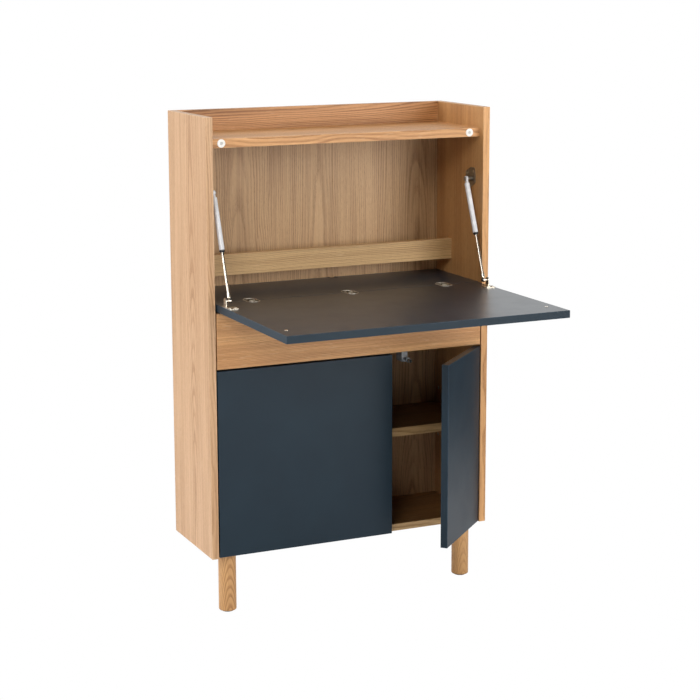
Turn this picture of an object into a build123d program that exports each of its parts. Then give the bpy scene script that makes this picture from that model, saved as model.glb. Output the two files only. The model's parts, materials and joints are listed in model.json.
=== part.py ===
from build123d import *
import os
from math import atan2, degrees, hypot

# Secretary desk with a fall front, a drawer and a two-door cupboard.
# Frame: X to the right, Y to the back, Z up.  The origin lies on the floor, in the middle of the
# footprint that the desk covers with its fall front open.  Millimetres.

# ---- driving dimensions ------------------------------------------------------------------
WIDTH = 760.0               # over both side panels
CASE_DEPTH = 264.0          # side panels, front to back
LEG_HEIGHT = 148.0          # floor to the underside of the case
PANEL_HEIGHT = 1077.0       # side panels
BOARD = 18.0                # side panels, boards, doors and the leaf
THICK_BOARD = 22.0          # top board and cupboard shelf
WRITING_HEIGHT = 780.0      # top of the writing surface above the floor
GAP = 3.0                   # reveal round doors, drawer front and leaf
ARRIS = 1.0                 # rounding of the edges that a hand meets
JOINT_GAP = 0.5             # half of the joint between leaf and writing board
LEG_DIAMETER = 44.0
LEG_INSET_X = 53.0          # leg axis from the outside of the case
LEG_INSET_Y = 38.5          # leg axis behind the front of the case
DOOR_SPLIT = 110.5          # middle of the joint between the two doors, from the centre line
DOOR_OPENING = 43.0         # angle at which the right door stands open, degrees

# ---- levels, all above the floor ---------------------------------------------------------
CASE_BOTTOM = LEG_HEIGHT
CASE_TOP = LEG_HEIGHT + PANEL_HEIGHT
BOTTOM_TOP = CASE_BOTTOM + BOARD
DOOR_LOW = CASE_BOTTOM + 2.0
DOOR_HIGH = 615.0
CUPBOARD_CEILING = 617.0
CUPBOARD_LID = CUPBOARD_CEILING + BOARD
DRAWER_LOW = 620.0
DRAWER_HIGH = 757.0
WRITING_LOW = WRITING_HEIGHT - BOARD
TRAY_TOP = 1172.0
TRAY_LOW = TRAY_TOP - THICK_BOARD
SHELF_LOW = 397.0
RAIL_LOW = 819.5
RAIL_HIGH = 872.0

# ---- positions from front to back --------------------------------------------------------
LEAF_LENGTH = CASE_TOP - WRITING_HEIGHT - 1.0
LEAF_REACH = LEAF_LENGTH - BOARD               # how far the open leaf stands out of the case
FRONT = (LEAF_REACH - CASE_DEPTH) / 2.0        # front plane of the side panels
BACK = FRONT + CASE_DEPTH
HINGE_Y = FRONT + BOARD                        # axis of the fall front
INNER_FRONT = FRONT + 21.0                     # front edge of every board inside
PANEL_Y = FRONT + 247.0                        # face of the back panel
RAIL_Y = FRONT + 164.0                         # front face of the pen rail
BACK_PANEL = 8.0
UPSTAND = 16.0
GROOVE = 6.0

# ---- positions across --------------------------------------------------------------------
HALF = WIDTH / 2.0
INNER = HALF - BOARD                           # inner face of the side panels
FACE = INNER - GAP                             # edge of doors, drawer front and leaf


def block(x0, x1, y0, y1, z0, z1):
    """A rectangular solid between two corners."""
    middle = ((x0 + x1) / 2, (y0 + y1) / 2, (z0 + z1) / 2)
    return Pos(*middle) * Box(abs(x1 - x0), abs(y1 - y0), abs(z1 - z0))


def bar(axis, start, end, u, v, radius):
    """A round bar along X, Y or Z; u and v are its other two coordinates in order."""
    middle = (start + end) / 2
    length = abs(end - start)
    if axis == "X":
        return Pos(middle, u, v) * Rot(0, 90, 0) * Cylinder(radius, length)
    if axis == "Y":
        return Pos(u, middle, v) * Rot(90, 0, 0) * Cylinder(radius, length)
    return Pos(u, v, middle) * Cylinder(radius, length)


def softened(solid, direction, radius=ARRIS):
    """The solid with the edges that run round its end faces along an axis rounded."""
    groups = solid.faces().sort_by(direction)
    edges = groups[0].edges() + groups[-1].edges()
    return fillet(edges, radius)


def group(shapes):
    """Several shapes as one group of separate solids."""
    return Compound(children=[solid for shape in shapes for solid in shape.solids()])


def both_sides(solid):
    """A solid on the right and its mirror image on the left, as one group."""
    return group([solid, mirror(solid, Plane.YZ)])


def mirrored(shape):
    """The mirror image of every solid of a shape, on the other side of the desk."""
    return group([mirror(solid, Plane.YZ) for solid in shape.solids()])


def save(name, shape):
    """Write one sub-part."""
    export_step(shape, f"parts/{name}.step")
    print(f"{name:28s} volume {shape.volume / 1000:9.2f} cm3")


os.makedirs("parts", exist_ok=True)

# ---- wooden dowels between the side panels and the boards ----------------------------------
DOWEL_R = 4.0
DOWEL_IN_PANEL = 12.0
DOWEL_IN_BOARD = 18.0


def dowel_rows():
    """Places of the dowels on the right side, as (y, z) pairs."""
    front_row = FRONT + 60.0
    back_row = FRONT + 210.0
    rows = []
    levels = (
        CASE_BOTTOM + BOARD / 2,
        CUPBOARD_CEILING + BOARD / 2,
        WRITING_LOW + BOARD / 2,
        TRAY_LOW + THICK_BOARD / 2,
    )
    for level in levels:
        rows.append((front_row, level))
        rows.append((back_row, level))
    rows.append((RAIL_Y + BOARD / 2, (RAIL_LOW + RAIL_HIGH) / 2))
    rows.append((PANEL_Y + UPSTAND / 2, TRAY_TOP + 26.0))
    return rows


dowel_solids = [
    bar("X", INNER - DOWEL_IN_BOARD, INNER + DOWEL_IN_PANEL, y, z, DOWEL_R) for y, z in dowel_rows()
]
dowels = group([both_sides(d) for d in dowel_solids])
dowel_cutters = dowel_solids + [mirror(d, Plane.YZ) for d in dowel_solids]

# ---- shelf pins and their sleeves ---------------------------------------------------------
PIN_R = 2.5
SLEEVE_R = 3.5
SLEEVE_LIP_R = 4.6
SLEEVE_DEPTH = 10.0
SLEEVE_LIP = 0.6
PIN_REACH = 8.0
PIN_LEVEL = SHELF_LOW - PIN_R
PIN_ROWS = (FRONT + 50.0, FRONT + 230.0)
SLEEVE_LEVELS = (PIN_LEVEL - 64.0, PIN_LEVEL, PIN_LEVEL + 64.0)


def sleeve(y, z):
    """A metal sleeve in the right side panel, with a thin lip on the inner face."""
    body = bar("X", INNER, INNER + SLEEVE_DEPTH, y, z, SLEEVE_R)
    lip = bar("X", INNER - SLEEVE_LIP, INNER, y, z, SLEEVE_LIP_R)
    hole = bar("X", INNER - SLEEVE_LIP, INNER + SLEEVE_DEPTH, y, z, PIN_R)
    return body + lip - hole


sleeve_places = [(y, z) for y in PIN_ROWS for z in SLEEVE_LEVELS]
sleeve_holes = [bar("X", INNER, INNER + SLEEVE_DEPTH, y, z, SLEEVE_R) for y, z in sleeve_places]
sleeves = group([both_sides(sleeve(y, z)) for y, z in sleeve_places])
pins = group(
    [both_sides(bar("X", INNER - PIN_REACH, INNER + SLEEVE_DEPTH, y, PIN_LEVEL, PIN_R)) for y in PIN_ROWS]
)

# ---- stays: where their pivots are --------------------------------------------------------
STAY_X = 342.5                                  # plane in which a stay swings
STAY_TOP = (FRONT + 52.0, 1041.0)               # pivot on the side panel
STAY_FOOT_REACH = 62.0                          # foot pivot in front of the hinge axis
STAY_FOOT_RISE = 15.0                           # foot pivot above the leaf
STAY_FOOT = (HINGE_Y - STAY_FOOT_REACH, WRITING_HEIGHT + STAY_FOOT_RISE)
STAY_FOOT_CLOSED = (HINGE_Y + STAY_FOOT_RISE, WRITING_HEIGHT + STAY_FOOT_REACH)
OPEN_LENGTH = hypot(STAY_TOP[0] - STAY_FOOT[0], STAY_TOP[1] - STAY_FOOT[1])
CLOSED_LENGTH = hypot(STAY_TOP[0] - STAY_FOOT_CLOSED[0], STAY_TOP[1] - STAY_FOOT_CLOSED[1])
OPEN_LEAN = degrees(atan2(STAY_TOP[0] - STAY_FOOT[0], STAY_TOP[1] - STAY_FOOT[1]))
CLOSED_LEAN = degrees(
    atan2(STAY_TOP[0] - STAY_FOOT_CLOSED[0], STAY_TOP[1] - STAY_FOOT_CLOSED[1])
)
print(f"stay open {OPEN_LENGTH:.3f} mm at {OPEN_LEAN:.4f} deg")
print(f"stay closed {CLOSED_LENGTH:.3f} mm at {CLOSED_LEAN:.4f} deg")

# ---- stay brackets on the side panels -----------------------------------------------------
PLATE = 2.5
SCREW_R = 2.0
SCREW_HEAD_R = 3.6
SCREW_HEAD = 1.6
SCREW_GRIP = 12.0
SLOT_LONG = 2.2
SLOT_WIDE = 0.45
STUD_R = 3.0
EYE_R = 6.5
EYE_THICK = 5.0
BRACKET_SCREWS = ((-8.0, 19.0), (26.0, 12.0), (22.0, -16.0))


def screw_x(y, z, face, grip=SCREW_GRIP):
    """A cross-slotted screw driven towards +X, its head standing on the plane x = face."""
    head = bar("X", face - SCREW_HEAD, face, y, z, SCREW_HEAD_R)
    shank = bar("X", face, face + grip, y, z, SCREW_R)
    slot_depth = SCREW_HEAD / 2
    top = face - SCREW_HEAD
    slots = block(top, top + slot_depth, y - SLOT_LONG, y + SLOT_LONG, z - SLOT_WIDE, z + SLOT_WIDE)
    slots += block(top, top + slot_depth, y - SLOT_WIDE, y + SLOT_WIDE, z - SLOT_LONG, z + SLOT_LONG)
    return head + shank - slots


def stay_bracket():
    """Plate with three corners on the right panel, carrying the stud for the cylinder."""
    y0, z0 = STAY_TOP
    corners = [(y0 - 14, z0 + 6), (y0 - 8, z0 + 28), (y0 + 8, z0 + 28), (y0 + 34, z0 + 16)]
    corners += [(y0 + 34, z0 - 24), (y0 + 16, z0 - 26), (y0 - 14, z0 - 10)]
    outline = Polyline([(0, y, z) for y, z in corners], close=True)
    plate = extrude(make_face(outline), amount=PLATE, dir=(1, 0, 0))
    plate = fillet(plate.edges().filter_by(Axis.X), 3.0)
    plate = Pos(INNER - PLATE, 0, 0) * plate
    boss = bar("X", STAY_X + EYE_THICK / 2 + 0.4, INNER - PLATE, y0, z0, 5.5)
    stud = bar("X", STAY_X - EYE_THICK / 2 - 0.4, INNER - PLATE, y0, z0, STUD_R)
    cap = bar("X", STAY_X - EYE_THICK / 2 - 2.4, STAY_X - EYE_THICK / 2 - 0.4, y0, z0, 4.8)
    shanks = [bar("X", INNER - PLATE, INNER, y0 + dy, z0 + dz, SCREW_R) for dy, dz in BRACKET_SCREWS]
    return plate + boss + stud + cap - shanks


right_bracket = stay_bracket()
bracket_screw_solids = [
    screw_x(STAY_TOP[0] + dy, STAY_TOP[1] + dz, INNER - PLATE) for dy, dz in BRACKET_SCREWS
]
bracket_screws = group([both_sides(s) for s in bracket_screw_solids])

# ---- stay cylinder and rod ----------------------------------------------------------------
TUBE_R = 6.5
BORE_R = 4.1
PISTON_R = 4.0
ROD_R = 3.3
GLAND_R = 3.4
TUBE_START = 12.0
TUBE_END = 141.0
CAP_LENGTH = 10.0
GLAND_LENGTH = 5.0
PISTON_AT = 106.0
PISTON_LENGTH = 8.0
SOCKET_LENGTH = 18.0
SOCKET_BODY = 11.0
SOCKET_R = 4.4
ROD_EYE_R = 5.0


def along_stay(solid):
    """Turn a part drawn along +Z from the top pivot into the open stay's direction."""
    return Pos(STAY_X, *STAY_TOP) * Rot(180 - OPEN_LEAN, 0, 0) * solid


def stay_cylinder():
    """Tube with an eye at the upper end and a gland at the lower end."""
    eye = bar("X", -EYE_THICK / 2, EYE_THICK / 2, 0, 0, EYE_R)
    neck = block(-EYE_THICK / 2, EYE_THICK / 2, -4.0, 4.0, 0, TUBE_START + 1.0)
    tube = bar("Z", TUBE_START, TUBE_END, 0, 0, TUBE_R)
    tube = softened(tube, Axis.Z, 0.8)
    bore = bar("Z", TUBE_START + CAP_LENGTH, TUBE_END - GLAND_LENGTH, 0, 0, BORE_R)
    mouth = bar("Z", TUBE_END - GLAND_LENGTH, TUBE_END, 0, 0, GLAND_R)
    hole = bar("X", -EYE_THICK, EYE_THICK, 0, 0, STUD_R + 0.08)
    return along_stay(eye + neck + tube - bore - mouth - hole)


def stay_rod():
    """Piston, rod, socket and the stud that reaches towards the foot on the leaf."""
    piston = bar("Z", PISTON_AT, PISTON_AT + PISTON_LENGTH, 0, 0, PISTON_R)
    rod = bar("Z", PISTON_AT, OPEN_LENGTH - SOCKET_LENGTH, 0, 0, ROD_R)
    socket_end = OPEN_LENGTH - SOCKET_LENGTH + SOCKET_BODY
    socket = bar("Z", OPEN_LENGTH - SOCKET_LENGTH, socket_end, 0, 0, SOCKET_R)
    neck = block(-2.0, 2.0, -3.0, 3.0, socket_end - 1.0, OPEN_LENGTH)
    eye = bar("X", -EYE_THICK / 2, EYE_THICK / 2, 0, OPEN_LENGTH, ROD_EYE_R)
    stud = bar("X", 0, FOOT_LUG - STAY_X - 0.4, 0, OPEN_LENGTH, STUD_R)
    return along_stay(piston + rod + socket + neck + eye + stud)


FOOT_LUG = 352.0                                # inner face of the upright lug of a foot
FOOT_PLATE = 2.0
FOOT_FRONT = STAY_FOOT[0] - 34.0
FOOT_STEP = STAY_FOOT[0] - 9.0
FOOT_BACK = STAY_FOOT[0] + 14.0
FOOT_SCREWS = ((FACE - 7.5, FOOT_FRONT + 8.0), (FACE - 21.0, FOOT_FRONT + 8.0))


def stay_foot():
    """Angle on the leaf: a plate with two screws and a lug beside the rod's stud."""
    z0 = WRITING_HEIGHT
    plate = block(FOOT_LUG - 4.0, FACE - 1.5, FOOT_FRONT, FOOT_BACK, z0, z0 + FOOT_PLATE)
    plate += block(FACE - 27.0, FACE - 1.5, FOOT_FRONT, FOOT_STEP, z0, z0 + FOOT_PLATE)
    plate = fillet(plate.edges().filter_by(Axis.Z), 1.5)
    lug = block(FOOT_LUG, FOOT_LUG + 2.5, STAY_FOOT[0] - 7, STAY_FOOT[0] + 7, z0, STAY_FOOT[1])
    lug += bar("X", FOOT_LUG, FOOT_LUG + 2.5, *STAY_FOOT, 7.0)
    shanks = [bar("Z", z0, z0 + FOOT_PLATE, x, y, SCREW_R) for x, y in FOOT_SCREWS]
    return plate + lug - shanks


def screw_down(x, y, face, grip):
    """A cross-slotted screw driven downwards, its head standing on the plane z = face."""
    head = bar("Z", face, face + SCREW_HEAD, x, y, SCREW_HEAD_R)
    shank = bar("Z", face - grip, face, x, y, SCREW_R)
    low = face + SCREW_HEAD / 2
    slots = block(x - SLOT_LONG, x + SLOT_LONG, y - SLOT_WIDE, y + SLOT_WIDE, low, face + SCREW_HEAD)
    slots += block(x - SLOT_WIDE, x + SLOT_WIDE, y - SLOT_LONG, y + SLOT_LONG, low, face + SCREW_HEAD)
    return head + shank - slots


foot_screw_solids = [
    screw_down(x, y, WRITING_HEIGHT + FOOT_PLATE, FOOT_PLATE + SCREW_GRIP) for x, y in FOOT_SCREWS
]
foot_screws = group([both_sides(s) for s in foot_screw_solids])
right_foot = stay_foot()
right_cylinder = stay_cylinder()
right_rod = stay_rod()

# ---- flush flap hinges --------------------------------------------------------------------
CUP_R = 17.5
CUP_DEPTH = 12.0
CUP_OFFSET = 10.0                               # cup axis from the hinge axis
CUP_WALL = 2.2
DISH = 1.4
HINGE_PLACES = {"left": -262.0, "middle": 0.0, "right": 262.0}
KNUCKLE_R = 2.6
KNUCKLE_PIN_R = 1.4
KNUCKLE_SPLIT = 3.0                             # half width of the leaf's middle knuckle
KNUCKLE_PLAY = 0.3
TROUGH = KNUCKLE_R + 0.4                        # room round the knuckles
TONGUE = 6.5                                    # half width of a hinge's tongue
TONGUE_THICK = 2.4
HINGE_SCREW_R = 3.2
HINGE_SCREW_X = 10.0
HINGE_SCREW_SUNK = 0.4
CUP_BOTTOM = WRITING_HEIGHT - CUP_DEPTH
TONGUE_LOW = WRITING_HEIGHT - TONGUE_THICK


def hinge_cup(x, side):
    """Cup let into a board from above, cut off along the joint, dished, with two screws."""
    y = HINGE_Y + side * CUP_OFFSET
    near = HINGE_Y + side * JOINT_GAP
    beyond = near - side * 2 * CUP_R
    cup = bar("Z", CUP_BOTTOM, WRITING_HEIGHT, x, y, CUP_R)
    cup -= block(x - 2 * CUP_R, x + 2 * CUP_R, near, beyond, CUP_BOTTOM, WRITING_HEIGHT)
    wall = near + side * CUP_WALL
    dish = bar("Z", WRITING_HEIGHT - DISH, WRITING_HEIGHT, x, y, CUP_R - CUP_WALL)
    dish -= block(x - CUP_R, x + CUP_R, wall, beyond, WRITING_HEIGHT - DISH, WRITING_HEIGHT)
    cup -= dish
    cup += block(x - TONGUE, x + TONGUE, near, y, TONGUE_LOW, WRITING_HEIGHT)
    trough_end = HINGE_Y + side * TROUGH
    play = TONGUE + 0.4
    cup -= block(x - play, x + play, near, trough_end, WRITING_HEIGHT - TROUGH - 0.4, WRITING_HEIGHT)
    for dx in (-HINGE_SCREW_X, HINGE_SCREW_X):
        cup += hinge_screw(x + dx, y)
    return cup


def hinge_screw(x, y):
    """Flat cross-slotted screw head in the dish of a cup."""
    top = WRITING_HEIGHT - HINGE_SCREW_SUNK
    low = top - 0.4
    head = bar("Z", WRITING_HEIGHT - DISH, top, x, y, HINGE_SCREW_R)
    head -= block(x - SLOT_LONG, x + SLOT_LONG, y - SLOT_WIDE, y + SLOT_WIDE, low, top)
    return head - block(x - SLOT_WIDE, x + SLOT_WIDE, y - SLOT_LONG, y + SLOT_LONG, low, top)


def knuckle(x0, x1, side):
    """Knuckle between two planes, joined to its own half of the hinge."""
    arm = block(x0, x1, HINGE_Y, HINGE_Y + side * TROUGH, TONGUE_LOW, WRITING_HEIGHT)
    return bar("X", x0, x1, HINGE_Y, WRITING_HEIGHT, KNUCKLE_R) + arm


def hinge_base(x):
    """Half of a flap hinge in the writing board: cup and two knuckles with the pin."""
    half = hinge_cup(x, 1) + knuckle(x - TONGUE, x - KNUCKLE_SPLIT, 1)
    half += knuckle(x + KNUCKLE_SPLIT, x + TONGUE, 1)
    return half + bar("X", x - TONGUE, x + TONGUE, HINGE_Y, WRITING_HEIGHT, KNUCKLE_PIN_R)


def hinge_flap(x):
    """Half of a flap hinge in the leaf: cup and the middle knuckle on the pin."""
    middle = KNUCKLE_SPLIT - KNUCKLE_PLAY
    half = hinge_cup(x, -1) + knuckle(x - middle, x + middle, -1)
    return half - bar("X", x - middle, x + middle, HINGE_Y, WRITING_HEIGHT, KNUCKLE_PIN_R + 0.06)


def hinge_pocket(x, side):
    """What a board loses for a hinge half: side is +1 in the writing board, -1 in the leaf."""
    return bar("Z", CUP_BOTTOM, WRITING_HEIGHT, x, HINGE_Y + side * CUP_OFFSET, CUP_R)


# ---- catches that hold the closed leaf ----------------------------------------------------
CATCH_X = 333.0
CATCH_Z = TRAY_LOW + THICK_BOARD / 2
CATCH_R = 10.0
CATCH_BODY_R = 6.5
CATCH_DEPTH = 20.0
CATCH_PROUD = 1.8
MAGNET_R = 4.0
STRIKE_THICK = 0.8
STRIKE_R = 4.5
STRIKE_Y = HINGE_Y - (CATCH_Z - WRITING_HEIGHT)


def catch_housing():
    """White housing let into the front edge of the top board, with a flange."""
    flange = bar("Y", INNER_FRONT - CATCH_PROUD, INNER_FRONT, CATCH_X, CATCH_Z, CATCH_R)
    flange = fillet(flange.faces().sort_by(Axis.Y)[0].edges(), 0.6)
    body = bar("Y", INNER_FRONT, INNER_FRONT + CATCH_DEPTH, CATCH_X, CATCH_Z, CATCH_BODY_R)
    seat = bar("Y", INNER_FRONT - CATCH_PROUD, INNER_FRONT + 8.0, CATCH_X, CATCH_Z, MAGNET_R)
    return flange + body - seat


def catch_magnet():
    """Magnet in the middle of a catch, with a crossed face."""
    face = INNER_FRONT - CATCH_PROUD + 0.3
    magnet = bar("Y", face, INNER_FRONT + 8.0, CATCH_X, CATCH_Z, MAGNET_R)
    cross = block(CATCH_X - 3.0, CATCH_X + 3.0, face, face + 0.6, CATCH_Z - 0.5, CATCH_Z + 0.5)
    cross += block(CATCH_X - 0.5, CATCH_X + 0.5, face, face + 0.6, CATCH_Z - 3.0, CATCH_Z + 3.0)
    return magnet - cross


catch_bore = bar("Y", INNER_FRONT, INNER_FRONT + CATCH_DEPTH, CATCH_X, CATCH_Z, CATCH_BODY_R)
leaf_strike = bar("Z", WRITING_HEIGHT, WRITING_HEIGHT + STRIKE_THICK, CATCH_X, STRIKE_Y, STRIKE_R)
leaf_strike = fillet(leaf_strike.faces().sort_by(Axis.Z)[-1].edges(), 0.4)

# ---- concealed door hinges ----------------------------------------------------------------
DOOR_HINGE_LEVELS = (DOOR_LOW + 62.0, DOOR_HIGH - 62.0)
DOOR_CUP_R = 17.5
DOOR_CUP_DEPTH = 12.0
DOOR_CUP_INSET = 22.5                           # cup axis from the door's edge
DOOR_BACK = FRONT + BOARD                       # inner face of a closed door
PLATE_Y = FRONT + 37.0


def door_cup(z):
    """Cup in the right door, shown with the door closed, with a flange and two screws."""
    x = FACE - DOOR_CUP_INSET
    cup = bar("Y", DOOR_BACK - DOOR_CUP_DEPTH, DOOR_BACK, x, z, DOOR_CUP_R)
    flange = block(x - 12.0, x + 6.0, DOOR_BACK, DOOR_BACK + 1.2, z - 26.0, z + 26.0)
    flange = fillet(flange.edges().filter_by(Axis.Y), 4.0)
    flange += bar("Y", DOOR_BACK, DOOR_BACK + 1.2, x, z, DOOR_CUP_R)
    hollow_front = DOOR_BACK - DOOR_CUP_DEPTH + 2.0
    hollow = block(x - 10.0, x + 14.0, hollow_front, DOOR_BACK + 1.2, z - 7.0, z + 7.0)
    cup = cup + flange - hollow
    for dz in (-21.0, 21.0):
        cup += bar("Y", DOOR_BACK + 1.2, DOOR_BACK + 2.2, x - 2.0, z + dz, SCREW_HEAD_R)
    return cup


def door_arm(z):
    """Mounting plate on the right panel with the hinge arm that reaches to the cup."""
    plate = block(INNER - 2.0, INNER, PLATE_Y, PLATE_Y + 34.0, z - 24.0, z + 24.0)
    plate = fillet(plate.edges().filter_by(Axis.X), 4.0)
    arm = block(INNER - 13.0, INNER - 2.0, PLATE_Y - 8.0, PLATE_Y + 44.0, z - 6.5, z + 6.5)
    hollow = block(INNER - 11.8, INNER - 2.0, PLATE_Y - 8.0, PLATE_Y + 42.8, z - 5.3, z + 5.3)
    nose = block(INNER - 24.0, INNER - 13.0, PLATE_Y - 12.0, PLATE_Y - 2.0, z - 6.5, z + 6.5)
    nose = fillet(nose.edges().filter_by(Axis.Z), 3.0)
    nose += block(INNER - 16.0, INNER - 11.8, PLATE_Y - 8.0, PLATE_Y - 2.0, z - 6.5, z + 6.5)
    spine = block(INNER - 8.0, INNER - 2.0, PLATE_Y + 8.0, PLATE_Y + 26.0, z - 5.3, z + 5.3)
    arm = arm - hollow + nose + spine
    for dz in (-18.0, 18.0):
        plate += bar("X", INNER - 3.2, INNER - 2.0, PLATE_Y + 17.0, z + dz, SCREW_HEAD_R)
    return plate + arm


right_cups_closed = group([door_cup(z) for z in DOOR_HINGE_LEVELS])
right_arms = group([door_arm(z) for z in DOOR_HINGE_LEVELS])

# ---- touch latches for the doors and the drawer -------------------------------------------
LATCH_OFFSET = 59.5                             # latch axis from the joint between the doors
LATCH_Z = CUPBOARD_CEILING - 27.0
LATCH_TIP = DOOR_BACK + 1.4
LATCH_BARREL_R = 5.0
LATCH_PLUNGER_R = 3.4
LATCH_STROKE = 4.0


def latch_housing(x, z, tip, ceiling):
    """Block under a board, with a barrel towards the front that guides the plunger."""
    back = tip + 66.0
    body = block(x - 8.0, x + 8.0, tip + 34.0, back, z - 8.0, ceiling)
    body = fillet(body.edges().filter_by(Axis.Y), 1.5)
    barrel = bar("Y", tip + 14.0, tip + 34.0, x, z, LATCH_BARREL_R)
    ring = bar("Y", tip + 14.0, tip + 16.5, x, z, LATCH_BARREL_R + 1.2)
    bore = bar("Y", tip + 14.0, back - 6.0, x, z, LATCH_PLUNGER_R + 0.35)
    return body + barrel + ring - bore


def latch_plunger(x, z, tip):
    """Round plunger with a wider tip."""
    rod = bar("Y", tip + 3.0, tip + 50.0, x, z, LATCH_PLUNGER_R)
    head = bar("Y", tip, tip + 6.0, x, z, LATCH_BARREL_R)
    head = softened(head, Axis.Y, 0.7)
    neck_ring = bar("Y", tip + 8.0, tip + 9.2, x, z, LATCH_PLUNGER_R + 0.6)
    return rod + head + neck_ring


left_latch_x = DOOR_SPLIT - LATCH_OFFSET
right_latch_x = DOOR_SPLIT + LATCH_OFFSET


def door_strike(x):
    """Thin steel disc on the inner face of a closed door, opposite the latch."""
    disc = bar("Y", DOOR_BACK, DOOR_BACK + 0.8, x, LATCH_Z, 6.0)
    return fillet(disc.faces().sort_by(Axis.Y)[-1].edges(), 0.4)


# ---- doors --------------------------------------------------------------------------------
RIGHT_PIVOT = (FACE, FRONT)


def swung(shape):
    """Turn a part of the right door from closed to where the door stands open."""
    turn = Pos(*RIGHT_PIVOT, 0) * Rot(0, 0, DOOR_OPENING) * Pos(-RIGHT_PIVOT[0], -RIGHT_PIVOT[1], 0)
    return group([turn * solid for solid in shape.solids()])


def door_board(x0, x1, cup_x):
    """Lacquered door board with rounded edges and two blind holes for the hinge cups."""
    board = block(x0, x1, FRONT, DOOR_BACK, DOOR_LOW, DOOR_HIGH)
    board = softened(board, Axis.Y)
    holes = [
        bar("Y", DOOR_BACK - DOOR_CUP_DEPTH, DOOR_BACK, cup_x, z, DOOR_CUP_R) for z in DOOR_HINGE_LEVELS
    ]
    return board - holes


left_door = door_board(-FACE, DOOR_SPLIT - GAP / 2, -FACE + DOOR_CUP_INSET)
right_door_closed = door_board(DOOR_SPLIT + GAP / 2, FACE, FACE - DOOR_CUP_INSET)

# ---- side panels --------------------------------------------------------------------------
back_panel = block(-INNER - GROOVE, INNER + GROOVE, PANEL_Y, PANEL_Y + BACK_PANEL, CASE_BOTTOM, TRAY_LOW)


def side_panel():
    """Right side panel with its groove and every hole that meets its inner face."""
    panel = block(INNER, HALF, FRONT, BACK, CASE_BOTTOM, CASE_TOP)
    panel = softened(panel, Axis.X)
    return panel - [back_panel] - dowel_solids - sleeve_holes - bracket_screw_solids


right_panel = side_panel()

# ---- boards of the case -------------------------------------------------------------------


def case_board(low, thick, back=PANEL_Y):
    """A board between the side panels with a slightly rounded front edge."""
    board = block(-INNER, INNER, INNER_FRONT, back, low, low + thick)
    return fillet(board.faces().sort_by(Axis.Y)[0].edges().filter_by(Axis.X), ARRIS)


SLOT_X = 54.0
SLOT_HALF = 9.0
SLOT_DEPTH = 14.0
LEG_BOLT_R = 4.0
LEG_BOLT_UP = 13.0
LEG_BOLT_DOWN = 40.0
leg_x = HALF - LEG_INSET_X
leg_y = FRONT + LEG_INSET_Y

leg_bolt = bar("Z", CASE_BOTTOM - LEG_BOLT_DOWN, CASE_BOTTOM + LEG_BOLT_UP, leg_x, leg_y, LEG_BOLT_R)
leg_bolts = both_sides(leg_bolt)

bottom_board = case_board(CASE_BOTTOM, BOARD) - dowel_cutters - [leg_bolt, mirror(leg_bolt, Plane.YZ)]
cupboard_top_board = case_board(CUPBOARD_CEILING, BOARD) - dowel_cutters
top_board = case_board(TRAY_LOW, THICK_BOARD) - dowel_cutters
top_board = top_board - [catch_bore, mirror(catch_bore, Plane.YZ)]

writing_board = block(-INNER, INNER, HINGE_Y + JOINT_GAP, PANEL_Y, WRITING_LOW, WRITING_HEIGHT)
cable_slot = block(
    SLOT_X - SLOT_HALF, SLOT_X + SLOT_HALF, PANEL_Y - SLOT_DEPTH, PANEL_Y, WRITING_LOW, WRITING_HEIGHT
)
writing_pockets = [hinge_pocket(x, 1) for x in HINGE_PLACES.values()]
writing_board = writing_board - dowel_cutters - [cable_slot] - writing_pockets

upstand = block(-INNER, INNER, PANEL_Y, PANEL_Y + UPSTAND, TRAY_LOW, CASE_TOP)
upstand = fillet(upstand.faces().sort_by(Axis.Z)[-1].edges().filter_by(Axis.X), ARRIS)

pen_rail = block(-INNER, INNER, RAIL_Y, RAIL_Y + BOARD, RAIL_LOW, RAIL_HIGH)
pen_rail = fillet(pen_rail.edges().filter_by(Axis.X), ARRIS) - dowel_cutters

shelf = block(-INNER + 1.0, INNER - 1.0, INNER_FRONT, PANEL_Y - 1.0, SHELF_LOW, SHELF_LOW + THICK_BOARD)
shelf = fillet(shelf.faces().sort_by(Axis.Y)[0].edges().filter_by(Axis.X), ARRIS)

# ---- wall hangers on the back of the upstand ----------------------------------------------
HANGER_X = 280.0
HANGER_Z = TRAY_TOP + 22.0
HANGER_HALF_X = 28.0
HANGER_HALF_Z = 15.0
HANGER_THICK = 2.5
HANGER_HOLE_R = 4.0
HANGER_POCKET_R = 8.0
HANGER_POCKET = 9.0
hanger_back = PANEL_Y + UPSTAND


def hanger_box(x):
    """Space of one hanger plate, let into the back of the upstand."""
    return block(
        x - HANGER_HALF_X,
        x + HANGER_HALF_X,
        hanger_back - HANGER_THICK,
        hanger_back,
        HANGER_Z - HANGER_HALF_Z,
        HANGER_Z + HANGER_HALF_Z,
    )


def hanger_screw_places(x):
    """The two fixing screws of a hanger."""
    return [(x - 20.0, HANGER_Z), (x + 20.0, HANGER_Z)]


def hanger_screw(x, z):
    """Countersunk screw flush with the hanger, driven towards the front."""
    shank = bar("Y", hanger_back - 11.0, hanger_back, x, z, SCREW_R)
    slot = block(x - 1.6, x + 1.6, hanger_back - 0.8, hanger_back, z - 0.4, z + 0.4)
    return shank - slot


def hanger(x):
    """Steel plate with the hole that hangs on a wall screw."""
    plate = hanger_box(x)
    plate -= bar("Y", hanger_back - HANGER_THICK, hanger_back, x, HANGER_Z, HANGER_HOLE_R)
    for sx, sz in hanger_screw_places(x):
        plate -= bar("Y", hanger_back - HANGER_THICK, hanger_back, sx, sz, SCREW_R)
    return plate


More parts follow.
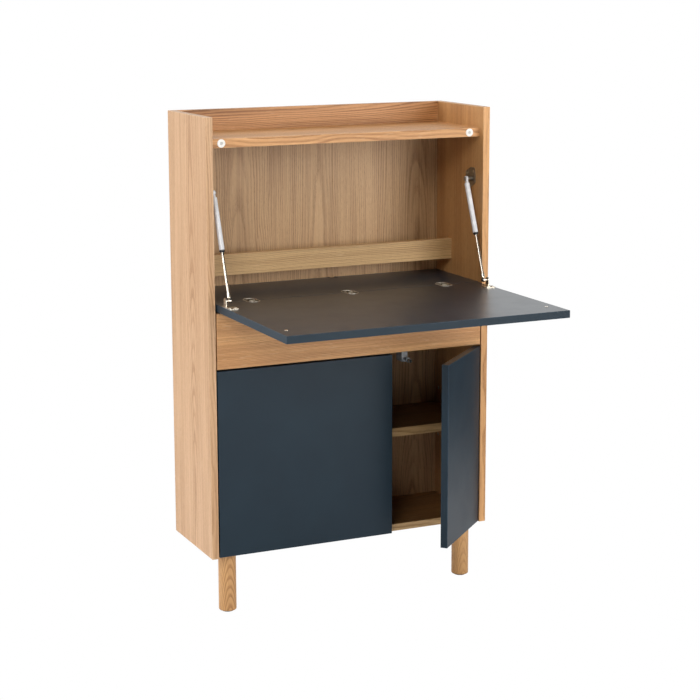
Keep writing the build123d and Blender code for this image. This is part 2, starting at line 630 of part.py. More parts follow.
hanger_places = (-HANGER_X, HANGER_X)
wall_hangers = group([hanger(x) for x in hanger_places])
hanger_screw_solids = [hanger_screw(sx, sz) for x in hanger_places for sx, sz in hanger_screw_places(x)]
hanger_screws = group(hanger_screw_solids)
screw_bores = [
    bar("Y", hanger_back - 11.0, hanger_back, sx, sz, SCREW_R)
    for x in hanger_places
    for sx, sz in hanger_screw_places(x)
]
screw_pockets = [
    bar("Y", hanger_back - HANGER_THICK - HANGER_POCKET, hanger_back, x, HANGER_Z, HANGER_POCKET_R)
    for x in hanger_places
]
upstand = upstand - dowel_cutters - [hanger_box(x) for x in hanger_places] - screw_bores - screw_pockets

# ---- legs ---------------------------------------------------------------------------------
GLIDE = 3.0
GLIDE_R = 15.0
leg = bar("Z", GLIDE, CASE_BOTTOM, leg_x, leg_y, LEG_DIAMETER / 2)
leg = fillet(leg.faces().sort_by(Axis.Z)[0].edges(), 3.0) - leg_bolt
glide = bar("Z", 0.0, GLIDE, leg_x, leg_y, GLIDE_R)
glide = fillet(glide.faces().sort_by(Axis.Z)[0].edges(), 0.8)

# ---- drawer -------------------------------------------------------------------------------
RUNNER_SPACE = 12.7
DRAWER_SIDE = 12.0
DRAWER_BACK = FRONT + 225.0
DRAWER_BOX_LOW = DRAWER_LOW + 18.0
DRAWER_BOX_HIGH = DRAWER_LOW + 114.0
DRAWER_FLOOR = 6.0
DRAWER_FLOOR_LIFT = 10.0
RUNNER_Z = DRAWER_LOW + 60.0
RUNNER_HALF = 22.0
RUNNER_LENGTH = 190.0
RUNNER_WALL = 1.4
drawer_x = INNER - RUNNER_SPACE
drawer_inner = drawer_x - DRAWER_SIDE
runner_front = DOOR_BACK + 4.0
runner_back = runner_front + RUNNER_LENGTH

drawer_front = softened(block(-FACE, FACE, FRONT, DOOR_BACK, DRAWER_LOW, DRAWER_HIGH), Axis.Y)
drawer_floor = block(
    -drawer_inner - 5.0,
    drawer_inner + 5.0,
    DOOR_BACK,
    DRAWER_BACK - DRAWER_SIDE + 5.0,
    DRAWER_BOX_LOW + DRAWER_FLOOR_LIFT,
    DRAWER_BOX_LOW + DRAWER_FLOOR_LIFT + DRAWER_FLOOR,
)
drawer_side = block(drawer_inner, drawer_x, DOOR_BACK, DRAWER_BACK, DRAWER_BOX_LOW, DRAWER_BOX_HIGH)
drawer_side = drawer_side - drawer_floor
drawer_end = block(
    -drawer_inner, drawer_inner, DRAWER_BACK - DRAWER_SIDE, DRAWER_BACK, DRAWER_BOX_LOW, DRAWER_BOX_HIGH
)
drawer_end = drawer_end - drawer_floor


def runner_bar(x0, x1, low, high):
    """A bar as long as a runner; low and high are measured from the runner's middle."""
    return block(x0, x1, runner_front, runner_back, RUNNER_Z + low, RUNNER_Z + high)


def runner_outer():
    """Channel on the right panel, open towards the drawer, lips turned in."""
    face = drawer_x + 1.0
    inside = RUNNER_HALF - RUNNER_WALL
    channel = runner_bar(face, INNER, -RUNNER_HALF, RUNNER_HALF)
    channel -= runner_bar(face, INNER - RUNNER_WALL, -inside, inside)
    channel += runner_bar(face, face + 1.2, -RUNNER_HALF, 5.0 - RUNNER_HALF)
    return channel + runner_bar(face, face + 1.2, RUNNER_HALF - 5.0, RUNNER_HALF)


def runner_inner():
    """Member on the drawer side that slides inside the channel."""
    member = runner_bar(drawer_x, drawer_x + 4.0, -15.0, 15.0)
    member += runner_bar(drawer_x + 4.0, drawer_x + 9.0, -19.5, 19.5)
    return member - runner_bar(drawer_x + 5.4, drawer_x + 9.0, -18.0, 18.0)


PUSH_TIP = DRAWER_BACK + 1.0


def push_housing():
    """Push catch on the board under the drawer, behind the drawer."""
    body = block(-9.0, 9.0, PUSH_TIP + 7.0, PANEL_Y, CUPBOARD_LID, CUPBOARD_LID + 28.0)
    bore = bar("Y", PUSH_TIP + 7.0, PANEL_Y - 2.0, 0, CUPBOARD_LID + 20.0, LATCH_PLUNGER_R + 0.35)
    return fillet(body.edges().filter_by(Axis.Y), 1.0) - bore


def push_plunger():
    """Plunger that pushes the drawer's back."""
    rod = bar("Y", PUSH_TIP, PUSH_TIP + 14.0, 0, CUPBOARD_LID + 20.0, LATCH_PLUNGER_R)
    return softened(rod, Axis.Y, 0.6)


# ---- the leaf -----------------------------------------------------------------------------
leaf_front = HINGE_Y - LEAF_LENGTH
fall_front = block(-FACE, FACE, leaf_front, HINGE_Y - JOINT_GAP, WRITING_LOW, WRITING_HEIGHT)
fall_front = softened(fall_front, Axis.Z)
leaf_pockets = [hinge_pocket(x, -1) for x in HINGE_PLACES.values()]
leaf_screw_bores = [
    bar("Z", WRITING_HEIGHT - SCREW_GRIP, WRITING_HEIGHT, side * x, y, SCREW_R)
    for x, y in FOOT_SCREWS
    for side in (-1, 1)
]
fall_front = fall_front - leaf_pockets - leaf_screw_bores

# ---- write every sub-part -----------------------------------------------------------------
parts = {
    "right_side_panel": right_panel,
    "left_side_panel": mirror(right_panel, Plane.YZ),
    "bottom_board": bottom_board,
    "cupboard_top_board": cupboard_top_board,
    "writing_board": writing_board,
    "top_board": top_board,
    "upstand": upstand,
    "back_panel": back_panel,
    "pen_rail": pen_rail,
    "cupboard_shelf": shelf,
    "shelf_pins": pins,
    "shelf_pin_sleeves": sleeves,
    "wooden_dowels": dowels,
    "right_leg": leg,
    "left_leg": mirror(leg, Plane.YZ),
    "leg_bolts": leg_bolts,
    "leg_glides": both_sides(glide),
    "wall_hangers": wall_hangers,
    "wall_hanger_screws": hanger_screws,
    "right_stay_bracket": right_bracket,
    "left_stay_bracket": mirror(right_bracket, Plane.YZ),
    "stay_bracket_screws": bracket_screws,
    "right_stay_cylinder": right_cylinder,
    "left_stay_cylinder": mirror(right_cylinder, Plane.YZ),
    "right_stay_rod": right_rod,
    "left_stay_rod": mirror(right_rod, Plane.YZ),
    "right_stay_foot": right_foot,
    "left_stay_foot": mirror(right_foot, Plane.YZ),
    "stay_foot_screws": foot_screws,
    "catch_housings": both_sides(catch_housing()),
    "catch_magnets": both_sides(catch_magnet()),
    "leaf_strikes": both_sides(leaf_strike),
    "fall_front": fall_front,
    "left_door": left_door,
    "left_door_hinge_cups": mirrored(right_cups_closed),
    "left_door_hinge_arms": mirrored(right_arms),
    "left_door_strike": door_strike(left_latch_x),
    "right_door": swung(right_door_closed),
    "right_door_hinge_cups": swung(right_cups_closed),
    "right_door_hinge_arms": right_arms,
    "right_door_strike": swung(door_strike(right_latch_x)),
    "left_latch_housing": latch_housing(left_latch_x, LATCH_Z, LATCH_TIP, CUPBOARD_CEILING),
    "right_latch_housing": latch_housing(right_latch_x, LATCH_Z, LATCH_TIP, CUPBOARD_CEILING),
    "left_latch_plunger": latch_plunger(left_latch_x, LATCH_Z, LATCH_TIP),
    "right_latch_plunger": latch_plunger(right_latch_x, LATCH_Z, LATCH_TIP),
    "drawer_front": drawer_front,
    "drawer_right_side": drawer_side,
    "drawer_left_side": mirror(drawer_side, Plane.YZ),
    "drawer_back": drawer_end,
    "drawer_bottom": drawer_floor,
    "drawer_runner_channels": both_sides(runner_outer()),
    "drawer_runner_members": both_sides(runner_inner()),
    "push_catch_housing": push_housing(),
    "push_catch_plunger": push_plunger(),
}
for place, x in HINGE_PLACES.items():
    parts[f"flap_hinge_base_{place}"] = hinge_base(x)
for place, x in HINGE_PLACES.items():
    parts[f"flap_hinge_leaf_{place}"] = hinge_flap(x)

for name, shape in parts.items():
    save(name, shape)
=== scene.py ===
"""Looks of a secretary desk: oak case, slate lacquered leaf and doors, two stays, turned legs.

Metres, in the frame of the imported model: X to the right, Y to the back, Z up, origin on the floor.
"""

import json
import logging
import math
from dataclasses import dataclass
from enum import Enum
from typing import Any, NamedTuple, Optional, Sequence, Union

import bmesh
import bpy
from mathutils import Matrix, Vector


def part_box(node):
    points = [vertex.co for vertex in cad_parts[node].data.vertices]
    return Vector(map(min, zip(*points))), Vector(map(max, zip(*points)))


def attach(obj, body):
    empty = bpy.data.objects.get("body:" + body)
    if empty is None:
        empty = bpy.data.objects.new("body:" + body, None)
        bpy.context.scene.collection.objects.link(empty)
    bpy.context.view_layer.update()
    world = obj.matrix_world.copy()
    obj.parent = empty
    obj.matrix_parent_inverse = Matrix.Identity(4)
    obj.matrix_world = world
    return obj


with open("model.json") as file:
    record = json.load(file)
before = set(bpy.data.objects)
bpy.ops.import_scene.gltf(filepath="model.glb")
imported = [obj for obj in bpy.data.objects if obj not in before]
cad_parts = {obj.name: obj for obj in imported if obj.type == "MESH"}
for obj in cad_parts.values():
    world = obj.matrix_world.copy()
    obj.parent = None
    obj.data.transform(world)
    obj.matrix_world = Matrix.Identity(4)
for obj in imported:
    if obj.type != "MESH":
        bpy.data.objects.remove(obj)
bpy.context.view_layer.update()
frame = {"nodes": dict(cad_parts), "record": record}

log = logging.getLogger("desk")

Colour = tuple[float, float, float, float]
Point = tuple[float, float, float]
MM = 0.001
WHITE: Colour = (1.0, 1.0, 1.0, 1.0)
NOWHERE: Point = (0.0, 0.0, 0.0)

# Sockets that can't be told apart by name: the Mix node's on colours, and the Mix Shader's.
MIX_SHARE, MIX_FIRST, MIX_SECOND, MIXED = 0, 6, 7, 2
SHADER_SHARE, SHADER_FIRST, SHADER_SECOND = 0, 1, 2


def paint(red: int, green: int, blue: int) -> Colour:
    """A colour as a painter's card gives it, 0 to 255, as linear light with full cover."""

    def light(part: int) -> float:
        """One share as linear light."""
        share = part / 255.0
        return share / 12.92 if share <= 0.04045 else ((share + 0.055) / 1.055) ** 2.4

    return light(red), light(green), light(blue), 1.0


def joint(name: str) -> dict[str, Any]:
    """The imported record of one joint."""
    return next(j for j in frame["record"]["behaviour"]["joints"] if j["name"] == name)


# ---- shader bench ------------------------------------------------------------------------------


class Value:
    """A number that varies over a surface, as a socket that takes part in expressions."""

    def __init__(self, bench: "Bench", socket: bpy.types.NodeSocket) -> None:
        """Wrap a socket of a bench's node tree."""
        self.bench = bench
        self.socket = socket

    def _sum(self, operation: str, *terms: "Number") -> "Value":
        """One Math node on the terms."""
        node = self.bench.node("ShaderNodeMath", {"operation": operation}, dict(enumerate(terms)))
        return Value(self.bench, node.outputs[0])

    def __add__(self, other: "Number") -> "Value":
        """self + other."""
        return self._sum("ADD", self, other)

    __radd__ = __add__

    def __sub__(self, other: "Number") -> "Value":
        """self - other."""
        return self._sum("SUBTRACT", self, other)

    def __rsub__(self, other: "Number") -> "Value":
        """other - self."""
        return self._sum("SUBTRACT", other, self)

    def __mul__(self, other: "Number") -> "Value":
        """self * other."""
        return self._sum("MULTIPLY", self, other)

    def __truediv__(self, other: "Number") -> "Value":
        """self / other."""
        return self._sum("DIVIDE", self, other)

    def __abs__(self) -> "Value":
        """abs(self)."""
        return self._sum("ABSOLUTE", self)

    def root(self) -> "Value":
        """Square root."""
        return self._sum("SQRT", self)

    def fraction(self) -> "Value":
        """What is left after the whole number."""
        return self._sum("FRACT", self)

    def whole(self) -> "Value":
        """The whole number below."""
        return self._sum("FLOOR", self)

    def smaller(self, other: "Number") -> "Value":
        """The smaller of two numbers."""
        return self._sum("MINIMUM", self, other)

    def larger(self, other: "Number") -> "Value":
        """The larger of two numbers."""
        return self._sum("MAXIMUM", self, other)

    def centred(self) -> "Value":
        """A number from 0 to 1, moved to lie about 0."""
        return self - 0.5

    def ramp(self, low: float, high: float, start: float = 0.0, end: float = 1.0) -> "Value":
        """A soft step.

        Args:
            low: Where the step begins.
            high: Where it ends.
            start: Result at low.
            end: Result at high.

        Returns:
            The result, held between start and end.
        """
        sockets = {"Value": self, "From Min": low, "From Max": high, "To Min": start, "To Max": end}
        node = self.bench.node("ShaderNodeMapRange", {"interpolation_type": "SMOOTHSTEP"}, sockets)
        return Value(self.bench, node.outputs[0])

    def band(self, start: float, top: float, fall: float, end: float) -> "Value":
        """A soft step up from start to top, and down again from fall to end."""
        return self.ramp(start, top) * self.ramp(fall, end, 1.0, 0.0)


Number = Union[float, Value]


class Place(NamedTuple):
    """Where a point of a surface lies, as numbers along three directions."""

    x: Value
    y: Value
    z: Value


class Bench:
    """The node tree of one material, or of the world."""

    CORNER_STEP = (0.01, 0.22)

    def __init__(self, owner: Union[bpy.types.Material, bpy.types.World]) -> None:
        """Empty the owner's tree."""
        owner.use_nodes = True
        self.owner = owner
        self.tree = owner.node_tree
        self.tree.nodes.clear()

    @classmethod
    def material(cls, name: str) -> "Bench":
        """The bench of a new material."""
        return cls(bpy.data.materials.new(name))

    def node(
        self,
        kind: str,
        settings: Optional[dict[str, Any]] = None,
        sockets: Optional[dict[Union[str, int], Any]] = None,
    ) -> bpy.types.Node:
        """Add a node.

        Args:
            kind: The node's type.
            settings: Its properties, set before the sockets.
            sockets: Numbers, colours, values or sockets for its inputs.

        Returns:
            The node.
        """
        node = self.tree.nodes.new(kind)
        for key, setting in (settings or {}).items():
            setattr(node, key, setting)
        for key, given in (sockets or {}).items():
            if isinstance(given, Value):
                given = given.socket
            if isinstance(given, bpy.types.NodeSocket):
                self.tree.links.new(given, node.inputs[key])
            else:
                node.inputs[key].default_value = given
        return node

    def apart(self, vector: bpy.types.NodeSocket) -> Place:
        """The three numbers of a vector."""
        parts = self.node("ShaderNodeSeparateXYZ", None, {"Vector": vector}).outputs
        return Place(*(Value(self, part) for part in parts))

    def where(self, turned: float = 0.0, about: Point = NOWHERE) -> Place:
        """The place of a surface point on the resting object.

        Args:
            turned: Angle by which the piece stands turned about a vertical line, radians.
            about: A point of that line.

        Returns:
            The place, as it is with the piece turned back.
        """
        spot = self.node("ShaderNodeTexCoord").outputs["Object"]
        if turned:
            settings = {"rotation_type": "Z_AXIS"}
            turn = {"Vector": spot, "Center": about, "Angle": -turned}
            spot = self.node("ShaderNodeVectorRotate", settings, turn).outputs[0]
        return self.apart(spot)

    def noise(
        self, x: Number, y: Number, z: Number, detail: float = 0.0, rough: float = 0.5
    ) -> Value:
        """Soft noise, about 0.5 on average, at a place that is already scaled to its waves."""
        spot = self.node("ShaderNodeCombineXYZ", None, {"X": x, "Y": y, "Z": z}).outputs[0]
        sockets = {"Vector": spot, "Scale": 1.0, "Detail": detail, "Roughness": rough}
        return Value(self, self.node("ShaderNodeTexNoise", None, sockets).outputs[0])

    def blend(self, share: Number, first: Any, second: Any) -> bpy.types.NodeSocket:
        """The mix of two colours that has a given share of the second."""
        settings = {"data_type": "RGBA", "blend_type": "MIX", "clamp_factor": True}
        sockets = {MIX_SHARE: share, MIX_FIRST: first, MIX_SECOND: second}
        return self.node("ShaderNodeMix", settings, sockets).outputs[MIXED]

    def layers(self, ground: Any, *layers: tuple[Value, Any]) -> bpy.types.NodeSocket:
        """A ground colour with layers over it, each given as its share and its colour."""
        for share, colour in layers:
            ground = self.blend(share, ground, colour)
        return ground

    def relief(self, height: Value, depth: float) -> bpy.types.NodeSocket:
        """A bumpy normal from heights between 0 and 1; depth is how many metres 1 stands for."""
        sockets = {"Strength": 1.0, "Distance": depth, "Height": height}
        return self.node("ShaderNodeBump", None, sockets).outputs[0]

    def arris(self, spot: Place, low: Point, high: Point, width: tuple[float, float]) -> Value:
        """Share of rubbed edge on a board with that box, fading between two distances from it."""
        gaps = []
        for line, start, end in zip(spot, low, high):
            half = (end - start) / 2
            gaps.append(abs(half - abs(line - (start + end) / 2)))
        least = gaps[0].smaller(gaps[1]).smaller(gaps[2])
        most = gaps[0].larger(gaps[1]).larger(gaps[2])
        return (gaps[0] + gaps[1] + gaps[2] - least - most).ramp(*width, 1.0, 0.0)

    def corner(self, width: float) -> Value:
        """Share of worn edge on a small fitting, 1 on its sharpest edges."""
        soft = self.node("ShaderNodeBevel", {"samples": 4}, {"Radius": width}).outputs[0]
        true = self.node("ShaderNodeNewGeometry").outputs["Normal"]
        dot = self.node("ShaderNodeVectorMath", {"operation": "DOT_PRODUCT"}, {0: soft, 1: true})
        return (1.0 - Value(self, dot.outputs["Value"])).ramp(*self.CORNER_STEP)

    def by_ray(self, others: bpy.types.Node, camera: bpy.types.Node) -> bpy.types.NodeSocket:
        """One shader for the camera and another for the light and mirror images."""
        seen = self.node("ShaderNodeLightPath").outputs["Is Camera Ray"]
        shaders = {SHADER_FIRST: others.outputs[0], SHADER_SECOND: camera.outputs[0]}
        return self.node("ShaderNodeMixShader", None, {SHADER_SHARE: seen, **shaders}).outputs[0]


@dataclass(frozen=True)
class Pattern:
    """Soft noise laid over a surface.

    Attributes:
        waves: Waves per metre along each direction; with 0, only the shift counts there.
        detail: How many finer layers it has.
        rough: How strong they are.
        step: Soft step that sharpens it, in the words of Value.ramp.
    """

    waves: Point
    detail: float = 2.0
    rough: float = 0.5
    step: tuple[float, ...] = ()

    def over(self, spot: Place, shift: Point = NOWHERE) -> Value:
        """The pattern at a place, moved by a shift that is given in waves."""
        terms: list[Number] = []
        for line, waves, move in zip(spot, self.waves, shift):
            scaled = line * waves if waves else move
            terms.append(scaled + move if waves and move else scaled)
        noise = spot.x.bench.noise(*terms, self.detail, self.rough)
        return noise.ramp(*self.step) if self.step else noise


def even(waves: float) -> Point:
    """The same number of waves along every direction."""
    return waves, waves, waves


FULL = (0.3, 0.7)  # A step over nearly all that a soft noise reaches.


# ---- finishes ----------------------------------------------------------------------------------


def look(colour: bpy.types.NodeSocket, rough: Value, normal: Any) -> dict[str, Any]:
    """Inputs that every surface shader has."""
    return {"Base Color": colour, "Roughness": rough, "Normal": normal}


class Finish:
    """How a piece looks."""

    KIND = "plain"

    def make(self, node: str) -> bpy.types.Material:
        """The finish for one piece.

        Args:
            node: The piece's name.

        Returns:
            The material.
        """
        bench = Bench.material(f"{self.KIND}_{node}")
        shader = bench.node("ShaderNodeBsdfPrincipled", None, self.sockets(bench, node))
        bench.node("ShaderNodeOutputMaterial", None, {"Surface": shader.outputs[0]})
        return bench.owner

    def sockets(self, bench: Bench, node: str) -> dict[str, Any]:
        """Inputs of the surface shader, made on a bench for the piece of that name."""
        raise NotImplementedError


class Lie(Enum):
    """How a board's grain lies: axes along the grain, across it, and through the board."""

    UPRIGHT_FACING_SIDE = ("z", "y", "x")
    UPRIGHT_FACING_FRONT = ("z", "x", "y")
    LEVEL_FACING_FRONT = ("x", "z", "y")
    LEVEL_FACING_UP = ("x", "y", "z")
    DEEP_FACING_UP = ("y", "x", "z")

    def pick(self, spot: Place) -> Place:
        """The place as numbers along, across and through the board."""
        return Place(*(getattr(spot, axis) for axis in self.value))


class Oak(Enum):
    """Tones of oak: pale wood, the darker porous wood of each ring, and the pores."""

    PALE = (paint(206, 168, 130), paint(176, 135, 96), paint(134, 95, 62))
    WARM = (paint(202, 149, 98), paint(132, 86, 46), paint(92, 58, 30))
    HONEY = (paint(204, 168, 118), paint(166, 130, 82), paint(116, 86, 50))
    SMOKED = (paint(201, 164, 121), paint(159, 122, 83), paint(108, 80, 50))
    # Painted shade: oak darkened for the shade on the inner face of the right side panel; the panel
    # carries it on both faces.
    PAINTED_SHADE = (paint(196, 148, 96), paint(166, 118, 70), paint(118, 80, 44))
    TAN = (paint(218, 165, 108), paint(175, 123, 73), paint(122, 78, 42))
    # Painted shade: oak darkened for the deep shade inside the cupboard, on its shelf, top board and
    # bottom board.
    PAINTED_DEEP_SHADE = (paint(146, 104, 58), paint(114, 76, 40), paint(76, 48, 24))
    TURNED = (paint(208, 162, 108), paint(176, 128, 80), paint(122, 84, 50))


OAK_GLOSS = 0.4
OAK_IOR = 1.48


@dataclass(frozen=True)
class OakFinish(Finish):
    """Oiled oak veneer or solid oak with growth rings, pores, rays, and edges rubbed by hands.

    Attributes:
        tone: Tones of the wood; on some boards inside the case, oak darkened as painted shade.
        lie: How the grain lies.
        seed: Number that gives the board a figure of its own.
        heart: Where the heart of the tree lies, from the middle of the board or leaf.
        pith: How deep it lies.
        tilt: How fast the board runs away from it.
        ring: Width of one year.
        leaves: How many leaves of veneer lie side by side.
        strength: How strongly the rings show.
        unshaded_edge: Tones of the front edge, kept paler where the board's tone is darkened as
            painted shade, if any.
    """

    tone: Oak
    lie: Lie
    seed: float
    heart: float = 0.1
    pith: float = 0.055
    tilt: float = 0.04
    ring: float = 0.0038
    leaves: int = 1
    strength: float = 1.0
    unshaded_edge: Optional[Oak] = None

    KIND = "oak"
    WAVE = Pattern((2.8, 12.0, 5.0), 3.0)
    SWELL = Pattern((1.2, 3.0, 0.0), 1.0)
    PORES = Pattern((95.0, 2300.0, 2300.0), 1.0, 0.6, (0.53, 0.68))
    STREAKS = Pattern((2.2, 210.0, 210.0), 4.0, 0.66)
    BROAD = Pattern((1.4, 34.0, 34.0), step=(0.35, 0.65))
    CLOUDS = Pattern((3.0, 14.0, 14.0), step=FULL)
    RAYS = Pattern((30.0, 260.0, 260.0), 1.0, step=(0.62, 0.74))
    PATCHES = Pattern(even(60.0), step=(0.35, 0.65, 0.4, 1.0))
    STREAK_STEP = (0.34, 0.66)
    RING_BAND = (0.0, 0.14, 0.18, 0.7)
    RAY_TONE, RUBBED_TONE = paint(236, 205, 165), paint(232, 200, 160)
    RING_SHARE, STREAK_SHARE, BROAD_SHARE, CLOUD_SHARE, LUCK_SHARE = 0.85, 0.5, 0.4, 0.2, 0.14
    GROUND_SHARE, PORE_SHARE, RAY_SHARE, RUBBED_SHARE = 0.13, 0.7, 0.15, 0.35
    HEART_DRIFT, WAVE_ASIDE, SWELL_DEEP, WAVE_RINGS = 0.1, 0.03, 0.045, 1.3
    # Width of the front edge that keeps a paler tone beside a face of painted shade.
    UNSHADED_EDGE_WIDTH = (2.0 * MM, 2.2 * MM)
    RUBBED_WIDTH = (0.3 * MM, 1.6 * MM)
    DEPTH = 0.09 * MM

    def sockets(self, bench: Bench, node: str) -> dict[str, Any]:
        """Inputs of the surface shader."""
        low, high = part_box(node)
        spot = bench.where()
        grain = self.lie.pick(spot)
        early, luck = self.years(bench, grain, low, high)
        pores = self.PORES.over(grain, (0.0, 0.0, self.seed)) * (early * 0.75 + 0.25)
        streaks = self.STREAKS.over(grain, (0.0, self.shift, 0.0))
        broad = self.BROAD.over(grain, (self.shift, 0.0, self.seed))
        clouds = self.CLOUDS.over(grain, (0.0, self.seed, 0.0))
        rays = self.RAYS.over(grain, (0.0, 0.0, self.shift))
        worn = bench.arris(spot, low, high, self.RUBBED_WIDTH) * self.PATCHES.over(spot)
        pale, ringed, pored = self.tones(bench, spot.y - low[1])
        shade = early * (self.RING_SHARE * self.strength)
        shade = shade + streaks.ramp(*self.STREAK_STEP).centred() * self.STREAK_SHARE
        shade = shade + broad.centred() * self.BROAD_SHARE + self.GROUND_SHARE
        shade = shade + clouds.centred() * self.CLOUD_SHARE + luck * self.LUCK_SHARE
        colour = bench.layers(
            bench.blend(shade, pale, ringed),
            (pores * self.PORE_SHARE, pored),
            (rays * self.RAY_SHARE, self.RAY_TONE),
            (worn * self.RUBBED_SHARE, self.RUBBED_TONE),
        )
        rough = OAK_GLOSS + pores * 0.22 + streaks * 0.1 - worn * 0.08
        height = (1.0 - pores) * 0.6 + (1.0 - early) * 0.25 + streaks * 0.15
        normal = bench.relief(height, self.DEPTH)
        return look(colour, rough, normal) | {"IOR": OAK_IOR}

    @property
    def shift(self) -> float:
        """How far the board's patterns are moved, in waves."""
        return self.seed * 1.7

    def years(self, bench: Bench, grain: Place, low: Point, high: Point) -> tuple[Value, Value]:
        """Share of porous early wood in the rings, and each leaf's own number from -1 to 1."""
        side, depth = ("xyz".index(axis) for axis in self.lie.value[1:])
        along, across, through = grain
        wave = self.WAVE.over(grain, (self.shift, 0.0, 0.0)).centred()
        swell = self.SWELL.over(grain, (self.shift, 0.0, self.seed)).centred()
        span = (high[side] - low[side]) / self.leaves
        place = (across - low[side]) / span
        leaf = place.whole() if self.leaves > 1 else place * 0.0
        luck = bench.noise(leaf * 7.77 + self.seed, self.seed * 3.1, 0.3).ramp(0.3, 0.7, -1.0, 1.0)
        drift = self.HEART_DRIFT if self.leaves > 1 else 0.0
        aside = (place - leaf).centred() * span - self.heart + luck * drift
        aside = aside + wave * self.WAVE_ASIDE
        deep = along * self.tilt + (through - low[depth]) + self.pith + swell * self.SWELL_DEEP
        rings = (aside * aside + deep * deep).root() / self.ring + wave * self.WAVE_RINGS
        year = bench.noise(rings.whole() * 7.31, self.seed, 0.5).ramp(0.3, 0.6, 0.45, 1.0)
        return rings.fraction().band(*self.RING_BAND) * year, luck

    def tones(self, bench: Bench, inset: Value) -> Sequence[Any]:
        """The three tones at a distance from the front edge: where front-edge tones are given, the
        face keeps the board's tone of painted shade and the edge turns paler.
        """
        if self.unshaded_edge is None:
            return self.tone.value
        # Painted shade: the face keeps the board's darkened tone, and only the front edge turns to
        # the paler tone.
        unshaded_front = inset.ramp(*self.UNSHADED_EDGE_WIDTH, 1.0, 0.0)
        pairs = zip(self.tone.value, self.unshaded_edge.value)
        return [bench.blend(unshaded_front, inner, outer) for inner, outer in pairs]


@dataclass(frozen=True)
class TurnedOakFinish(Finish):
    """Solid oak of a turned leg: the grain runs up it and the ring faces show as nested arches."""

    seed: float
    strength: float

    KIND = "oak"
    WAVE = Pattern((7.0, 16.0, 16.0))
    PORES = Pattern((110.0, 2100.0, 2100.0), 1.0, step=(0.54, 0.7))
    STREAKS = Pattern((5.0, 220.0, 220.0), step=(0.35, 0.7))
    RING_BAND = (0.0, 0.15, 0.2, 0.65)
    RING, PITH, TILT = 0.0044, 0.055, 0.17
    HEART_DRIFT, WAVE_ASIDE, WAVE_DEEP = 0.003, 0.012, 0.01
    STREAK_SHARE, FOOT_SHARE = 0.35, 0.35
    FOOT_HEIGHT = (3.0 * MM, 9.0 * MM)
    FOOT_TONE = paint(120, 92, 62)
    DEPTH = 0.08 * MM

    def sockets(self, bench: Bench, node: str) -> dict[str, Any]:
        """Inputs of the surface shader."""
        low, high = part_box(node)
        spot = bench.where()
        x = spot.x - (low[0] + high[0]) / 2
        y = spot.y - (low[1] + high[1]) / 2
        grain = Place(spot.z, x, y)
        wave = self.WAVE.over(grain, (self.seed, 0.0, 0.0)).centred()
        aside = x + wave * self.WAVE_ASIDE + self.HEART_DRIFT * math.cos(self.seed)
        deep = y + self.PITH + spot.z * self.TILT + wave * self.WAVE_DEEP
        rings = (aside * aside + deep * deep).root() / self.RING
        early = rings.fraction().band(*self.RING_BAND)
        pores = self.PORES.over(grain)
        streaks = self.STREAKS.over(grain, (0.0, 0.0, self.seed))
        foot = spot.z.ramp(*self.FOOT_HEIGHT, 1.0, 0.0)
        pale, ringed, pored = Oak.TURNED.value
        colour = bench.layers(
            bench.blend(early * self.strength + streaks * self.STREAK_SHARE, pale, ringed),
            (pores * (early * 0.6 + 0.2), pored),
            (foot * self.FOOT_SHARE, self.FOOT_TONE),
        )
        normal = bench.relief((1.0 - pores) * 0.6 + (1.0 - early) * 0.4, self.DEPTH)
        rough = OAK_GLOSS + pores * 0.2 + foot * 0.15
        return look(colour, rough, normal) | {"IOR": OAK_IOR}


